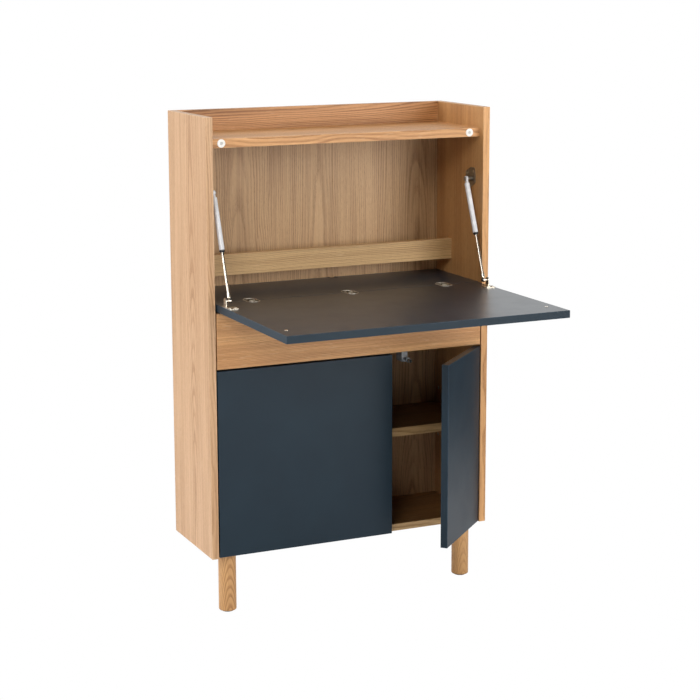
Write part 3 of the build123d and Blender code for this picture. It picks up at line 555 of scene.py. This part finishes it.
@dataclass(frozen=True)
class LacquerFinish(Finish):
    """Satin slate lacquer on board: sprayed texture, faint mottling, paler rubbed edges.

    Attributes:
        sheen: How strongly the lacquer mirrors.
        coat: Weight of a clear coat on the upper face.
        turned: Angle by which the piece stands turned about a vertical line, radians.
        about: A point of that line.
        low: Lowest corner of its box when turned back.
        high: Highest corner of that box.
    """

    sheen: float
    coat: float = 0.0
    turned: float = 0.0
    about: Point = NOWHERE
    low: Optional[Point] = None
    high: Optional[Point] = None

    KIND = "lacquer"
    MOTTLE = Pattern(even(7.0), 3.0, step=FULL)
    HANDS = Pattern(even(14.0), 4.0, 0.6, (0.4, 0.7))
    SPECKS = Pattern(even(900.0), 1.0)
    PATCHES = Pattern(even(45.0), 3.0, step=(0.35, 0.62, 0.25, 1.0))
    PEEL = Pattern(even(420.0))
    HANDS_SHIFT = (0.0, 5.0, 0.0)
    SPECK_STEP = (0.62, 0.72)
    SLATE, SECOND_SLATE = paint(17, 37, 50), paint(20, 41, 54)
    SPECK_TONE, RUBBED_TONE = paint(60, 76, 88), paint(66, 88, 108)
    SPECK_SHARE, RUBBED_SHARE = 0.1, 0.4
    RUBBED_WIDTH = (0.35 * MM, 1.6 * MM)
    GLOSS, COAT_GLOSS, IOR = 0.34, 0.3, 1.5
    COAT_START, COAT_FULL = 0.4 * MM, 0.2 * MM
    DEPTH = 0.028 * MM

    def sockets(self, bench: Bench, node: str) -> dict[str, Any]:
        """Inputs of the surface shader."""
        low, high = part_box(node)
        spot = bench.where(self.turned, self.about)
        hands = self.HANDS.over(spot, self.HANDS_SHIFT)
        specks = self.SPECKS.over(spot)
        rubbed = bench.arris(spot, self.low or low, self.high or high, self.RUBBED_WIDTH)
        worn = rubbed * self.PATCHES.over(spot)
        colour = bench.layers(
            bench.blend(self.MOTTLE.over(spot), self.SLATE, self.SECOND_SLATE),
            (specks.ramp(*self.SPECK_STEP) * self.SPECK_SHARE, self.SPECK_TONE),
            (worn * self.RUBBED_SHARE, self.RUBBED_TONE),
        )
        rough = self.GLOSS + hands * 0.03 + specks * 0.03 + worn * 0.1
        normal = bench.relief(self.PEEL.over(spot), self.DEPTH)
        sockets = look(colour, rough, normal) | {"IOR": self.IOR, "Specular IOR Level": self.sheen}
        if self.coat:
            face = spot.z.ramp(high[2] - self.COAT_START, high[2] - self.COAT_FULL)
            sockets |= {"Coat Weight": face * self.coat, "Coat Roughness": self.COAT_GLOSS}
            sockets["Coat IOR"] = self.IOR
        return sockets


class Metal(Enum):
    """Metals of the fittings: face colour, rubbed colour, roughness, and depth of the scratches."""

    NICKEL = (paint(205, 198, 186), paint(238, 233, 224), 0.24, 0.012 * MM)
    POLISHED = (paint(214, 207, 196), paint(244, 240, 232), 0.13, 0.006 * MM)
    ZINC = (paint(150, 146, 138), paint(202, 200, 194), 0.36, 0.02 * MM)
    BRUSHED = (paint(232, 226, 216), paint(248, 245, 240), 0.45, 0.02 * MM)
    CAST = (paint(120, 112, 98), paint(206, 200, 188), 0.34, 0.02 * MM)


@dataclass(frozen=True)
class MetalFinish(Finish):
    """Plated or polished metal with fine scratches, dull patches and bright rubbed edges."""

    metal: Metal

    KIND = "metal"
    SCRATCHES = Pattern((2600.0, 240.0, 420.0), rough=0.6)
    PATCHES = Pattern(even(130.0), 3.0)
    PATCH_STEP = (0.35, 0.7)
    PATCH_TONE = paint(120, 112, 98)
    PATCH_SHARE, EDGE_SHARE = 0.3, 0.7
    SHINIEST, DULLEST = 0.85, 1.35
    EDGE = 0.6 * MM

    def sockets(self, bench: Bench, node: str) -> dict[str, Any]:
        """Inputs of the surface shader."""
        face, bright, rough, depth = self.metal.value
        spot = bench.where()
        scratches = self.SCRATCHES.over(spot)
        patches = self.PATCHES.over(spot)
        edge = bench.corner(self.EDGE)
        colour = bench.layers(
            face,
            (patches.ramp(*self.PATCH_STEP) * self.PATCH_SHARE, self.PATCH_TONE),
            (edge * self.EDGE_SHARE, bright),
        )
        dull = patches.ramp(*FULL, rough * self.SHINIEST, rough * self.DULLEST)
        dull = dull + scratches * 0.06 - edge * 0.05
        normal = bench.relief(scratches, depth)
        return look(colour, dull, normal) | {"Metallic": 1.0}


class Shell(Enum):
    """Coats and plastics: colour, second colour, roughness."""

    WHITE_ENAMEL = (paint(232, 234, 238), paint(214, 217, 222), 0.22)
    WHITE_PLASTIC = (paint(240, 240, 238), paint(224, 224, 220), 0.3)
    GREY_PLASTIC = (paint(178, 182, 187), paint(152, 157, 162), 0.34)
    BLACK_PLASTIC = (paint(26, 26, 28), paint(44, 44, 46), 0.42)
    FERRITE = (paint(202, 202, 200), paint(178, 178, 176), 0.4)


@dataclass(frozen=True)
class ShellFinish(Finish):
    """Enamel, moulded plastic or ferrite: fine moulded texture, cloudy sheen, paler edges."""

    shell: Shell

    KIND = "shell"
    CLOUDS = Pattern(even(90.0), 3.0)
    GRIT = Pattern(even(1800.0), 1.0)
    EDGE_TONE = paint(236, 236, 236)
    EDGE_SHARE = 0.35
    SHINIEST, DULLEST = 0.85, 1.2
    EDGE = 0.5 * MM
    DEPTH = 0.012 * MM

    def sockets(self, bench: Bench, node: str) -> dict[str, Any]:
        """Inputs of the surface shader."""
        face, second, rough = self.shell.value
        spot = bench.where()
        clouds = self.CLOUDS.over(spot)
        grit = self.GRIT.over(spot)
        edge = bench.corner(self.EDGE) * self.EDGE_SHARE
        mottled = bench.blend(clouds.ramp(*FULL), face, second)
        colour = bench.blend(edge, mottled, self.EDGE_TONE)
        dull = clouds.ramp(*FULL, rough * self.SHINIEST, rough * self.DULLEST)
        normal = bench.relief(grit, self.DEPTH)
        return look(colour, dull + grit * 0.06, normal)


@dataclass(frozen=True)
class PlyFinish(Finish):
    """Clear lacquered birch ply: pale faces with a fine grain and darker layers on its edges."""

    lie: Lie
    layer: float = 1.4 * MM

    KIND = "ply"
    FLOW = Pattern((5.0, 46.0, 8.0), 3.0, 0.6)
    FLECKS = Pattern((120.0, 1500.0, 1500.0), 1.0, step=(0.6, 0.74))
    LAYER_STEP = (0.42, 0.55)
    BIRCH, SECOND_BIRCH = paint(222, 194, 150), paint(198, 164, 118)
    FLECK_TONE, LAYER_TONE = paint(150, 112, 72), paint(158, 116, 76)
    RUBBED_TONE = paint(238, 216, 180)
    FLECK_SHARE, LAYER_SHARE, RUBBED_SHARE = 0.3, 0.6, 0.3
    FACE_STEP = (0.2 * MM, 0.5 * MM)
    RUBBED_WIDTH = (0.3 * MM, 1.4 * MM)
    GLOSS = 0.4
    DEPTH = 0.05 * MM

    def sockets(self, bench: Bench, node: str) -> dict[str, Any]:
        """Inputs of the surface shader."""
        low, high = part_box(node)
        spot = bench.where()
        grain = self.lie.pick(spot)
        flow = self.FLOW.over(grain)
        flecks = self.FLECKS.over(grain)
        axis = "xyz".index(self.lie.value[2])
        sunk = (grain.z - low[axis]).smaller(high[axis] - grain.z)
        layers = (sunk / (2 * self.layer)).fraction().ramp(*self.LAYER_STEP)
        worn = bench.arris(spot, low, high, self.RUBBED_WIDTH)
        colour = bench.layers(
            bench.blend(flow.ramp(*FULL), self.BIRCH, self.SECOND_BIRCH),
            (flecks * self.FLECK_SHARE, self.FLECK_TONE),
            (layers * sunk.ramp(*self.FACE_STEP) * self.LAYER_SHARE, self.LAYER_TONE),
            (worn * self.RUBBED_SHARE, self.RUBBED_TONE),
        )
        rough = self.GLOSS + flow * 0.12 - worn * 0.06
        normal = bench.relief((1.0 - flecks) * 0.6 + flow * 0.4, self.DEPTH)
        return look(colour, rough, normal)


def dress(finish: Finish, *nodes: str) -> None:
    """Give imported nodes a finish.

    Args:
        finish: The finish.
        nodes: Names of the nodes that share it.
    """
    material = finish.make(nodes[0])
    for name in nodes:
        mesh = frame["nodes"][name].data
        mesh.materials.clear()
        mesh.materials.append(material)
    log.info("dressed %s", ", ".join(nodes))


# ---- mesh building -----------------------------------------------------------------------------

SMOOTH_BELOW = math.radians(38)
BEVEL_SEGMENTS = 3


@dataclass(frozen=True)
class Piece:
    """A piece under construction: one mesh that grows by turned and swept forms."""

    name: str
    mesh: bmesh.types.BMesh

    @classmethod
    def start(cls, name: str) -> "Piece":
        """An empty piece."""
        return cls(name, bmesh.new())

    def turn(self, profile: Sequence[tuple[float, float]], place: Matrix, sides: int) -> None:
        """Add a form turned on a lathe.

        Args:
            profile: Closed outline as (radius, height) pairs; radius 0 lies on the axis.
            place: Where the form goes; its axis is the matrix's Z.
            sides: How many sides the turned form has.
        """
        rounds = []
        for radius, height in profile:
            angles = [2 * math.pi * step / sides for step in range(sides if radius > 0 else 1)]
            ring = [(radius * math.cos(a), radius * math.sin(a), height) for a in angles]
            rounds.append([self.mesh.verts.new(place @ Vector(spot)) for spot in ring])
        closed = profile[0][0] > 0 and profile[-1][0] > 0
        pairs = list(zip(rounds, rounds[1:])) + ([(rounds[-1], rounds[0])] if closed else [])
        for lower, upper in pairs:
            for step in range(sides):
                after = (step + 1) % sides
                if len(lower) == 1:
                    self.mesh.faces.new((lower[0], upper[step], upper[after]))
                elif len(upper) == 1:
                    self.mesh.faces.new((lower[step], upper[0], lower[after]))
                else:
                    self.mesh.faces.new((lower[step], upper[step], upper[after], lower[after]))

    def sweep(self, rings: Sequence[Sequence[Point]]) -> None:
        """Add a form through cross-sections of equally many corners, closed at both ends."""
        made = [[self.mesh.verts.new(corner) for corner in ring] for ring in rings]
        for ring, after in zip(made, made[1:]):
            for step, corner in enumerate(ring):
                near = (step + 1) % len(ring)
                self.mesh.faces.new((corner, ring[near], after[near], after[step]))
        for ring in (made[0], made[-1]):
            self.mesh.faces.new(ring)

    def fit(self, finish: Finish, slot: str, body: str, bevel: float = 0.0) -> None:
        """Finish the piece and let it ride on its body.

        Args:
            finish: Its finish.
            slot: Material slot of the record that the finish stands for; not used.
            body: The body that it moves with.
            bevel: Width of its rounded edges, metres.
        """
        bmesh.ops.recalc_face_normals(self.mesh, faces=self.mesh.faces)
        data = bpy.data.meshes.new(self.name)
        self.mesh.to_mesh(data)
        self.mesh.free()
        made = bpy.data.objects.new(self.name, data)
        bpy.context.scene.collection.objects.link(made)
        if bevel:
            rounding = made.modifiers.new("rounded_edges", "BEVEL")
            rounding.width = bevel
            rounding.segments = BEVEL_SEGMENTS
            rounding.limit_method = "ANGLE"
        for face in data.polygons:
            face.use_smooth = True
        data.set_sharp_from_angle(angle=SMOOTH_BELOW)
        data.materials.append(finish.make(self.name))
        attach(made, body)
        log.info("built %s on %s", self.name, body)


def facing(spot: Sequence[float], direction: Sequence[float]) -> Matrix:
    """A place whose Z axis points in a direction."""
    turn = Vector(direction).to_track_quat("Z", "Y").to_matrix().to_4x4()
    return Matrix.Translation(Vector(spot)) @ turn


# ---- sub-assemblies ----------------------------------------------------------------------------


class Assembly:
    """Pieces of the desk that belong together."""

    def dress(self) -> None:
        """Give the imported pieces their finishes."""

    def build(self) -> None:
        """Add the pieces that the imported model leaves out; most assemblies have none."""


@dataclass
class Case(Assembly):
    """Side panels, boards, tray with its upstand, back panel, and the pins that hold it."""

    pin_pitch: float = 115.0 * MM
    pin_inset: float = 11.0 * MM
    pin_radius: float = 2.6 * MM
    pin_sides: int = 16
    row_rise: float = 9.0 * MM
    row_inset: float = 30.0 * MM

    def dress(self) -> None:
        """Give every board of the case its oak, and its dowels their beech."""
        upright, level = Lie.UPRIGHT_FACING_SIDE, Lie.LEVEL_FACING_UP
        front = Lie.LEVEL_FACING_FRONT
        boards = {
            "left_side_panel": OakFinish(Oak.PALE, upright, 1.3, -0.02, 0.03, 0.03, strength=0.9),
            # Painted shade: the right side panel's oak is darkened for the shade on its inner face,
            # and its front edge is kept paler.
            "right_side_panel": OakFinish(
                Oak.PAINTED_SHADE, upright, 4.1, 0.2, 0.05, 0.02, strength=0.6, unshaded_edge=Oak.TAN
            ),
            "back_panel": OakFinish(
                Oak.SMOKED, Lie.UPRIGHT_FACING_FRONT, 2.2, 0.0, 0.035, 0.035, 0.004, 5, 0.65
            ),
            "upstand": OakFinish(Oak.WARM, front, 5.7, 0.045, 0.03, 0.03, strength=0.95),
            "top_board": OakFinish(Oak.TAN, level, 7.9, 0.06, 0.05, 0.035, strength=1.2),
            "pen_rail": OakFinish(Oak.HONEY, front, 3.4, 0.09, 0.03, 0.012),
        }
        # Painted shade: the cupboard's shelf, top board and bottom board get oak darkened for the
        # shade inside it, and a paler front edge.
        unshaded_front = {"cupboard_shelf": 6.2, "bottom_board": 8.8, "cupboard_top_board": 9.6}
        for board, seed in unshaded_front.items():
            boards[board] = OakFinish(Oak.PAINTED_DEEP_SHADE, level, seed, unshaded_edge=Oak.HONEY)
        for board, finish in boards.items():
            dress(finish, board)
        dress(PlyFinish(level, layer=1.0), "wooden_dowels")
        dress(MetalFinish(Metal.NICKEL), "shelf_pins", "shelf_pin_sleeves")

    def build(self) -> None:
        """Drive a row of domed pins round the back of the back panel."""
        low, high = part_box("back_panel")
        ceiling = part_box("top_board")[0][2]
        left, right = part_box("left_side_panel")[1][0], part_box("right_side_panel")[0][0]
        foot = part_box("bottom_board")[0][2] + self.row_rise
        radius = self.pin_radius
        head = [(0, 1.1 * MM), (0.5 * radius, 1.0 * MM), (0.85 * radius, 0.6 * MM)]
        head += [(radius, 0.15 * MM), (radius, 0.0), (0, 0.0)]
        sides = (left + self.pin_inset, right - self.pin_inset)
        spots = [(x, z) for x in sides for z in self.row(low[2], ceiling)]
        spots += [(x, foot) for x in self.row(left + self.row_inset, right - self.row_inset)]
        piece = Piece.start("back_panel_pins")
        for x, z in spots:
            piece.turn(head, facing((x, high[1], z), (0, 1, 0)), self.pin_sides)
        piece.fit(MetalFinish(Metal.ZINC), "zinc_steel", "case")

    def row(self, start: float, end: float) -> list[float]:
        """Even places between two ends, about a pin's pitch apart."""
        reach = end - start - 2 * self.pin_inset
        steps = max(2, round(reach / self.pin_pitch))
        return [start + self.pin_inset + reach / steps * step for step in range(steps + 1)]


@dataclass
class WritingSurface(Assembly):
    """Writing board, fall front, flush hinges between them, and the cable slot's lining."""

    sheen: float = 0.27
    coat: float = 0.38
    slot_middle: float = 54.0 * MM
    slot_reach: float = 9.0 * MM
    slot_front: float = 314.0 * MM
    liner_wall: float = 1.2 * MM
    liner_flange: float = 2.4 * MM
    liner_rise: float = 0.7 * MM
    liner_gap: float = 0.4 * MM
    liner_rounding: float = 0.3 * MM
    cup_radius: float = 17.5 * MM
    cup_offset: float = 10.0 * MM
    rim_gap: float = 0.2 * MM
    rim_bead: float = 0.8 * MM
    joint_gap: float = 1.4 * MM
    bead_steps: int = 36
    bead_corners: int = 6
    hinges: tuple[str, ...] = ("left", "middle", "right")

    def dress(self) -> None:
        """Lacquer the writing board and the leaf, and plate the hinges and strikes."""
        for board in ("writing_board", "fall_front"):
            dress(LacquerFinish(self.sheen, self.coat), board)
        for half in ("base", "leaf"):
            dress(MetalFinish(Metal.CAST), *(f"flap_hinge_{half}_{place}" for place in self.hinges))
        dress(MetalFinish(Metal.POLISHED), "leaf_strikes")

    def build(self) -> None:
        """Line the cable slot and set a bead round each hinge cup."""
        self.line_slot()
        axis = joint("leaf_hinge")["pos_m"][1]
        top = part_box("writing_board")[1][2]
        for half, body, side in (("base", "case", 1.0), ("leaf", "leaf", -1.0)):
            piece = Piece.start(f"flap_hinge_beads_{half}")
            for place in self.hinges:
                low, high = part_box(f"flap_hinge_{half}_{place}")
                spot = ((low[0] + high[0]) / 2, axis + side * self.cup_offset, top)
                piece.sweep(self.bead(spot, side))
            piece.fit(MetalFinish(Metal.BRUSHED), "satin_nickel", body)

    def bead(self, spot: Point, side: float) -> list[list[Point]]:
        """A half-round bead along a cup's rim, up to the joint between the boards.

        Args:
            spot: Middle of the cup, at the level of the boards.
            side: 1 for a cup behind the joint, -1 for one in front of it.

        Returns:
            Its cross-sections.
        """
        radius = self.cup_radius - self.rim_bead - self.rim_gap
        reach = math.asin((self.cup_offset - self.joint_gap) / radius)
        rings = []
        for step in range(self.bead_steps + 1):
            angle = -reach + (math.pi + 2 * reach) * step / self.bead_steps
            ring = []
            for corner in range(self.bead_corners + 1):
                lean = math.pi * corner / self.bead_corners
                out = radius + self.rim_bead * math.cos(lean)
                x = spot[0] + out * math.cos(angle)
                y = spot[1] + side * out * math.sin(angle)
                ring.append((x, y, spot[2] + self.rim_bead * math.sin(lean)))
            rings.append(ring)
        return rings

    def line_slot(self) -> None:
        """Add a moulded lining, open towards the back panel, in the writing board's cable slot."""
        board_low, board_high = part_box("writing_board")
        left, right = self.slot_middle - self.slot_reach, self.slot_middle + self.slot_reach
        front, back, wall = self.slot_front, board_high[1] - self.liner_gap, self.liner_wall
        for name, bottom, top, out in (
            ("wall", board_low[2], board_high[2], 0.0),
            ("flange", board_high[2], board_high[2] + self.liner_rise, self.liner_flange),
        ):
            outline = [(left - out, back), (left - out, front - out), (right + out, front - out)]
            outline += [(right + out, back), (right - wall, back), (right - wall, front + wall)]
            outline += [(left + wall, front + wall), (left + wall, back)]
            piece = Piece.start(f"cable_slot_liner_{name}")
            piece.sweep([[(x, y, z) for x, y in outline] for z in (bottom, top)])
            finish = ShellFinish(Shell.BLACK_PLASTIC)
            piece.fit(finish, "black_plastic", "case", self.liner_rounding)


@dataclass
class Stay(Assembly):
    """One stay: bracket, tube, rod and foot, with its gland collar and ball-joint cap."""

    side: str
    collar_start: float = 141.2 * MM
    collar_length: float = 5.6 * MM
    collar_radius: float = 6.6 * MM
    collar_sides: int = 40
    chamfer: float = 0.5 * MM
    rod_radius: float = 3.7 * MM
    reach: float = 264.068 * MM
    cap_out: float = 2.5 * MM
    cap_radius: float = 5.4 * MM
    cap_sides: int = 32

    def dress(self) -> None:
        """Enamel the tube, polish the rod and plate the foot and the bracket."""
        dress(ShellFinish(Shell.WHITE_ENAMEL), f"{self.side}_stay_cylinder")
        metals = {"rod": Metal.POLISHED, "foot": Metal.NICKEL, "bracket": Metal.ZINC}
        for part, metal in metals.items():
            dress(MetalFinish(metal), f"{self.side}_stay_{part}")

    def build(self) -> None:
        """Turn the gland collar on the tube and the cap over the ball joint."""
        top = Vector(joint(f"{self.side}_stay_swing")["pos_m"])
        down = -Vector(joint(f"{self.side}_stay_stroke")["axis"]).normalized()
        at, long, wide = self.collar_start, self.collar_length, self.collar_radius
        profile = [(self.rod_radius, at), (wide - self.chamfer, at), (wide, at + self.chamfer)]
        profile += [(wide, at + 0.45 * long), (wide - 0.6 * MM, at + 0.6 * long)]
        profile += [(self.rod_radius + 0.9 * MM, at + long), (self.rod_radius, at + long)]
        collar = Piece.start(f"{self.side}_gland_collar")
        collar.turn(profile, facing(top, down), self.collar_sides)
        collar.fit(ShellFinish(Shell.BLACK_PLASTIC), "black_plastic", f"{self.side}_cylinder")
        outward = Vector((1.0 if top.x < 0 else -1.0, 0, 0))
        dome = [(0, 3.0 * MM), (2.4 * MM, 2.8 * MM), (4.2 * MM, 2.0 * MM), (5.2 * MM, 0.8 * MM)]
        dome += [(self.cap_radius, 0.1 * MM), (0, 0.1 * MM)]
        place = facing(top + down * self.reach + outward * self.cap_out, outward)
        cap = Piece.start(f"{self.side}_ball_joint_cap")
        cap.turn(dome, place, self.cap_sides)
        cap.fit(ShellFinish(Shell.BLACK_PLASTIC), "black_plastic", f"{self.side}_rod")


@dataclass
class Cupboard(Assembly):
    """Two doors of unequal width, their hinges, touch latches, strikes and soft bumpers."""

    gap: float = 3.0 * MM
    bumper_radius: float = 4.0 * MM
    bumper_rise: float = 2.2 * MM
    bumper_lift: float = 1.0 * MM
    bumper_sides: int = 24
    left_bumpers: tuple[float, float] = (20.0 * MM, 160.0 * MM)
    right_bumpers: tuple[float, float] = (20.0 * MM, 140.0 * MM)
    sheen: float = 0.27

    @property
    def opening(self) -> float:
        """Angle by which the right door stands open, radians."""
        return -math.radians(joint("right_door_hinge")["range_deg"][0])

    @property
    def pivot(self) -> Point:
        """A point of the right door's axis."""
        return tuple(joint("right_door_hinge")["pos_m"])

    def dress(self) -> None:
        """Lacquer the doors and plate or mould what is on them."""
        low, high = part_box("left_door")
        shut_low = (high[0] + self.gap, low[1], low[2])
        shut_high = (-low[0], high[1], high[2])
        dress(LacquerFinish(self.sheen), "left_door")
        turned = LacquerFinish(self.sheen, 0.0, self.opening, self.pivot, shut_low, shut_high)
        dress(turned, "right_door")
        for metal, part in (
            (Metal.NICKEL, "door_hinge_arms"),
            (Metal.NICKEL, "door_hinge_cups"),
            (Metal.POLISHED, "door_strike"),
            (Metal.POLISHED, "latch_plunger"),
        ):
            dress(MetalFinish(metal), f"left_{part}", f"right_{part}")
        dress(ShellFinish(Shell.GREY_PLASTIC), "left_latch_housing", "right_latch_housing")

    def build(self) -> None:
        """Stick two soft bumpers inside each door, where it meets the bottom board."""
        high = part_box("left_door")[1]
        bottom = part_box("bottom_board")
        level = (bottom[0][2] + bottom[1][2]) / 2 + self.bumper_lift
        pivot = Vector(self.pivot)
        turn = Matrix.Rotation(self.opening, 4, "Z")
        turn = Matrix.Translation(pivot) @ turn @ Matrix.Translation(-pivot)
        radius, rise = self.bumper_radius, self.bumper_rise
        dome = [(0, rise), (0.5 * radius, 0.9 * rise), (0.85 * radius, 0.55 * rise)]
        dome += [(radius, 0.1 * rise), (radius, 0), (0, 0)]
        for door, move, across in (
            ("left_door", Matrix.Identity(4), [high[0] - inset for inset in self.left_bumpers]),
            ("right_door", turn, [high[0] + self.gap + inset for inset in self.right_bumpers]),
        ):
            piece = Piece.start(f"{door}_bumpers")
            for x in across:
                piece.turn(dome, move @ facing((x, high[1], level), (0, 1, 0)), self.bumper_sides)
            piece.fit(ShellFinish(Shell.GREY_PLASTIC), "grey_plastic", door)


@dataclass
class Drawer(Assembly):
    """Oak front on a ply box, on two steel runners, opened by a push catch."""

    def dress(self) -> None:
        """Give the front its oak, the box its ply and the runners their zinc."""
        front = OakFinish(Oak.TAN, Lie.LEVEL_FACING_FRONT, 11.5, 0.17, 0.04, 0.015, 0.0032)
        dress(front, "drawer_front")
        dress(PlyFinish(Lie.DEEP_FACING_UP), "drawer_bottom")
        dress(PlyFinish(Lie.LEVEL_FACING_FRONT), "drawer_back")
        for side in ("left", "right"):
            dress(PlyFinish(Lie.UPRIGHT_FACING_SIDE), f"drawer_{side}_side")
        dress(MetalFinish(Metal.ZINC), "drawer_runner_channels", "drawer_runner_members")
        dress(ShellFinish(Shell.GREY_PLASTIC), "push_catch_housing", "push_catch_plunger")


@dataclass
class Fittings(Assembly):
    """Catches for the closed leaf, screws, legs with bolts and glides, and wall hangers."""

    def dress(self) -> None:
        """Give each kind of fitting its finish."""
        dress(ShellFinish(Shell.WHITE_PLASTIC), "catch_housings")
        dress(ShellFinish(Shell.FERRITE), "catch_magnets")
        dress(ShellFinish(Shell.BLACK_PLASTIC), "leg_glides")
        dress(MetalFinish(Metal.ZINC), "leg_bolts", "wall_hangers", "wall_hanger_screws")
        dress(MetalFinish(Metal.NICKEL), "stay_bracket_screws", "stay_foot_screws")
        dress(TurnedOakFinish(seed=0.4, strength=0.9), "left_leg")
        dress(TurnedOakFinish(seed=1.2, strength=0.35), "right_leg")


# ---- studio ------------------------------------------------------------------------------------


@dataclass(frozen=True)
class Lamp:
    """One square soft lamp that points at the middle of the desk; its power is in watts."""

    name: str
    place: Point
    size: float
    power: float
    tint: Point

    AIM = (0.0, 0.0, 0.7)

    def hang(self) -> None:
        """Put the lamp in the scene."""
        data = bpy.data.lights.new(self.name, "AREA")
        data.size = self.size
        data.energy = self.power
        data.color = self.tint
        made = bpy.data.objects.new(self.name, data)
        away = Vector(self.place) - Vector(self.AIM)
        made.matrix_world = facing(self.place, away)
        bpy.context.scene.collection.objects.link(made)


LAMPS = (
    Lamp("side_lamp", (-3.4, 0.9, 1.7), 1.6, 58.0, (1.0, 0.985, 0.965)),
    Lamp("front_lamp", (1.85, -3.5, 1.55), 1.9, 93.0, (1.0, 0.97, 0.92)),
    Lamp("top_lamp", (-0.4, -1.4, 4.0), 1.5, 32.0, (1.0, 0.98, 0.95)),
    Lamp("left_lamp", (-2.3, -2.6, 2.9), 1.4, 52.0, (1.0, 0.965, 0.92)),
)


@dataclass
class Studio:
    """White floor and backdrop, a room that is dark in front and bright behind, and a camera."""

    camera_place: Point = (-1.8419, -3.8473, 1.5441)
    camera_turn: float = 0.42217
    camera_dip: float = 0.18112
    camera_roll: float = 0.0045
    focal: float = 91.996
    sensor: float = 36.0
    shift: tuple[float, float] = (0.03666, -0.06357)
    room_dark: float = 0.045
    room_bright: float = 1.15
    room_fade: tuple[float, float] = (-0.15, 0.55)
    floor_size: float = 30.0
    roughness: float = 0.9
    floor_fade: tuple[float, float] = (0.9, 2.4)
    floor_slant: float = 0.4

    FLOOR_CLOUDS = Pattern((1.5, 1.5, 0.0))
    FLOOR_TONE, SECOND_TONE = paint(247, 247, 250), paint(252, 252, 255)
    FAR_TONE = paint(104, 108, 114)

    def surround(self) -> None:
        """Make the room, which only the light and the mirror images meet, and the backdrop."""
        world = bpy.data.worlds.new("surroundings")
        bpy.context.scene.world = world
        bench = Bench(world)
        ahead = bench.apart(bench.node("ShaderNodeTexCoord").outputs["Generated"]).y
        glow = ahead.ramp(*self.room_fade, self.room_dark, self.room_bright)
        room = bench.node("ShaderNodeBackground", None, {"Color": WHITE, "Strength": glow})
        backdrop = bench.node("ShaderNodeBackground", None, {"Color": WHITE})
        both = bench.by_ray(room, backdrop)
        bench.node("ShaderNodeOutputWorld", None, {"Surface": both})
        bpy.context.scene.view_settings.view_transform = "Standard"

    def floor(self) -> None:
        """Lay a wide floor, white for the camera and darker far right and back for the light."""
        bpy.ops.mesh.primitive_plane_add(size=self.floor_size, location=NOWHERE)
        plane = bpy.context.object
        plane.name = "studio_floor"
        bench = Bench.material("studio_floor")
        spot = bench.where()
        clouds = self.FLOOR_CLOUDS.over(spot)
        far = (spot.x + spot.y * self.floor_slant).ramp(*self.floor_fade)
        near = bench.blend(clouds, self.FLOOR_TONE, self.SECOND_TONE)
        looks = {"Base Color": bench.blend(far, near, self.FAR_TONE), "Roughness": self.roughness}
        cloth = bench.node("ShaderNodeBsdfPrincipled", None, looks)
        glow = bench.node("ShaderNodeEmission", None, {"Color": WHITE, "Strength": 1.0})
        bench.node("ShaderNodeOutputMaterial", None, {"Surface": bench.by_ray(cloth, glow)})
        plane.data.materials.append(bench.owner)

    def camera(self) -> None:
        """Set up the camera."""
        data = bpy.data.cameras.new("camera")
        data.sensor_width = self.sensor
        data.lens = self.focal
        data.shift_x, data.shift_y = self.shift
        turn, dip = self.camera_turn, self.camera_dip
        level = math.cos(dip)
        ahead = Vector((math.sin(turn) * level, math.cos(turn) * level, -math.sin(dip)))
        aside = Vector((math.cos(turn), -math.sin(turn), 0.0))
        rolled = Matrix.Rotation(self.camera_roll, 3, ahead)
        axes = (rolled @ aside, rolled @ aside.cross(ahead), -ahead)
        made = bpy.data.objects.new("camera", data)
        turned = Matrix(axes).transposed().to_4x4()
        made.matrix_world = Matrix.Translation(self.camera_place) @ turned
        bpy.context.scene.collection.objects.link(made)
        bpy.context.scene.camera = made


def main() -> None:
    """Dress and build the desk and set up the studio."""
    logging.basicConfig(level=logging.INFO, format="%(message)s")
    stays = (Stay("left"), Stay("right"))
    for assembly in (Case(), WritingSurface(), *stays, Cupboard(), Drawer(), Fittings()):
        assembly.dress()
        assembly.build()
    for lamp in LAMPS:
        lamp.hang()
    studio = Studio()
    studio.surround()
    studio.floor()
    studio.camera()


if __name__ == "__main__":
    main()
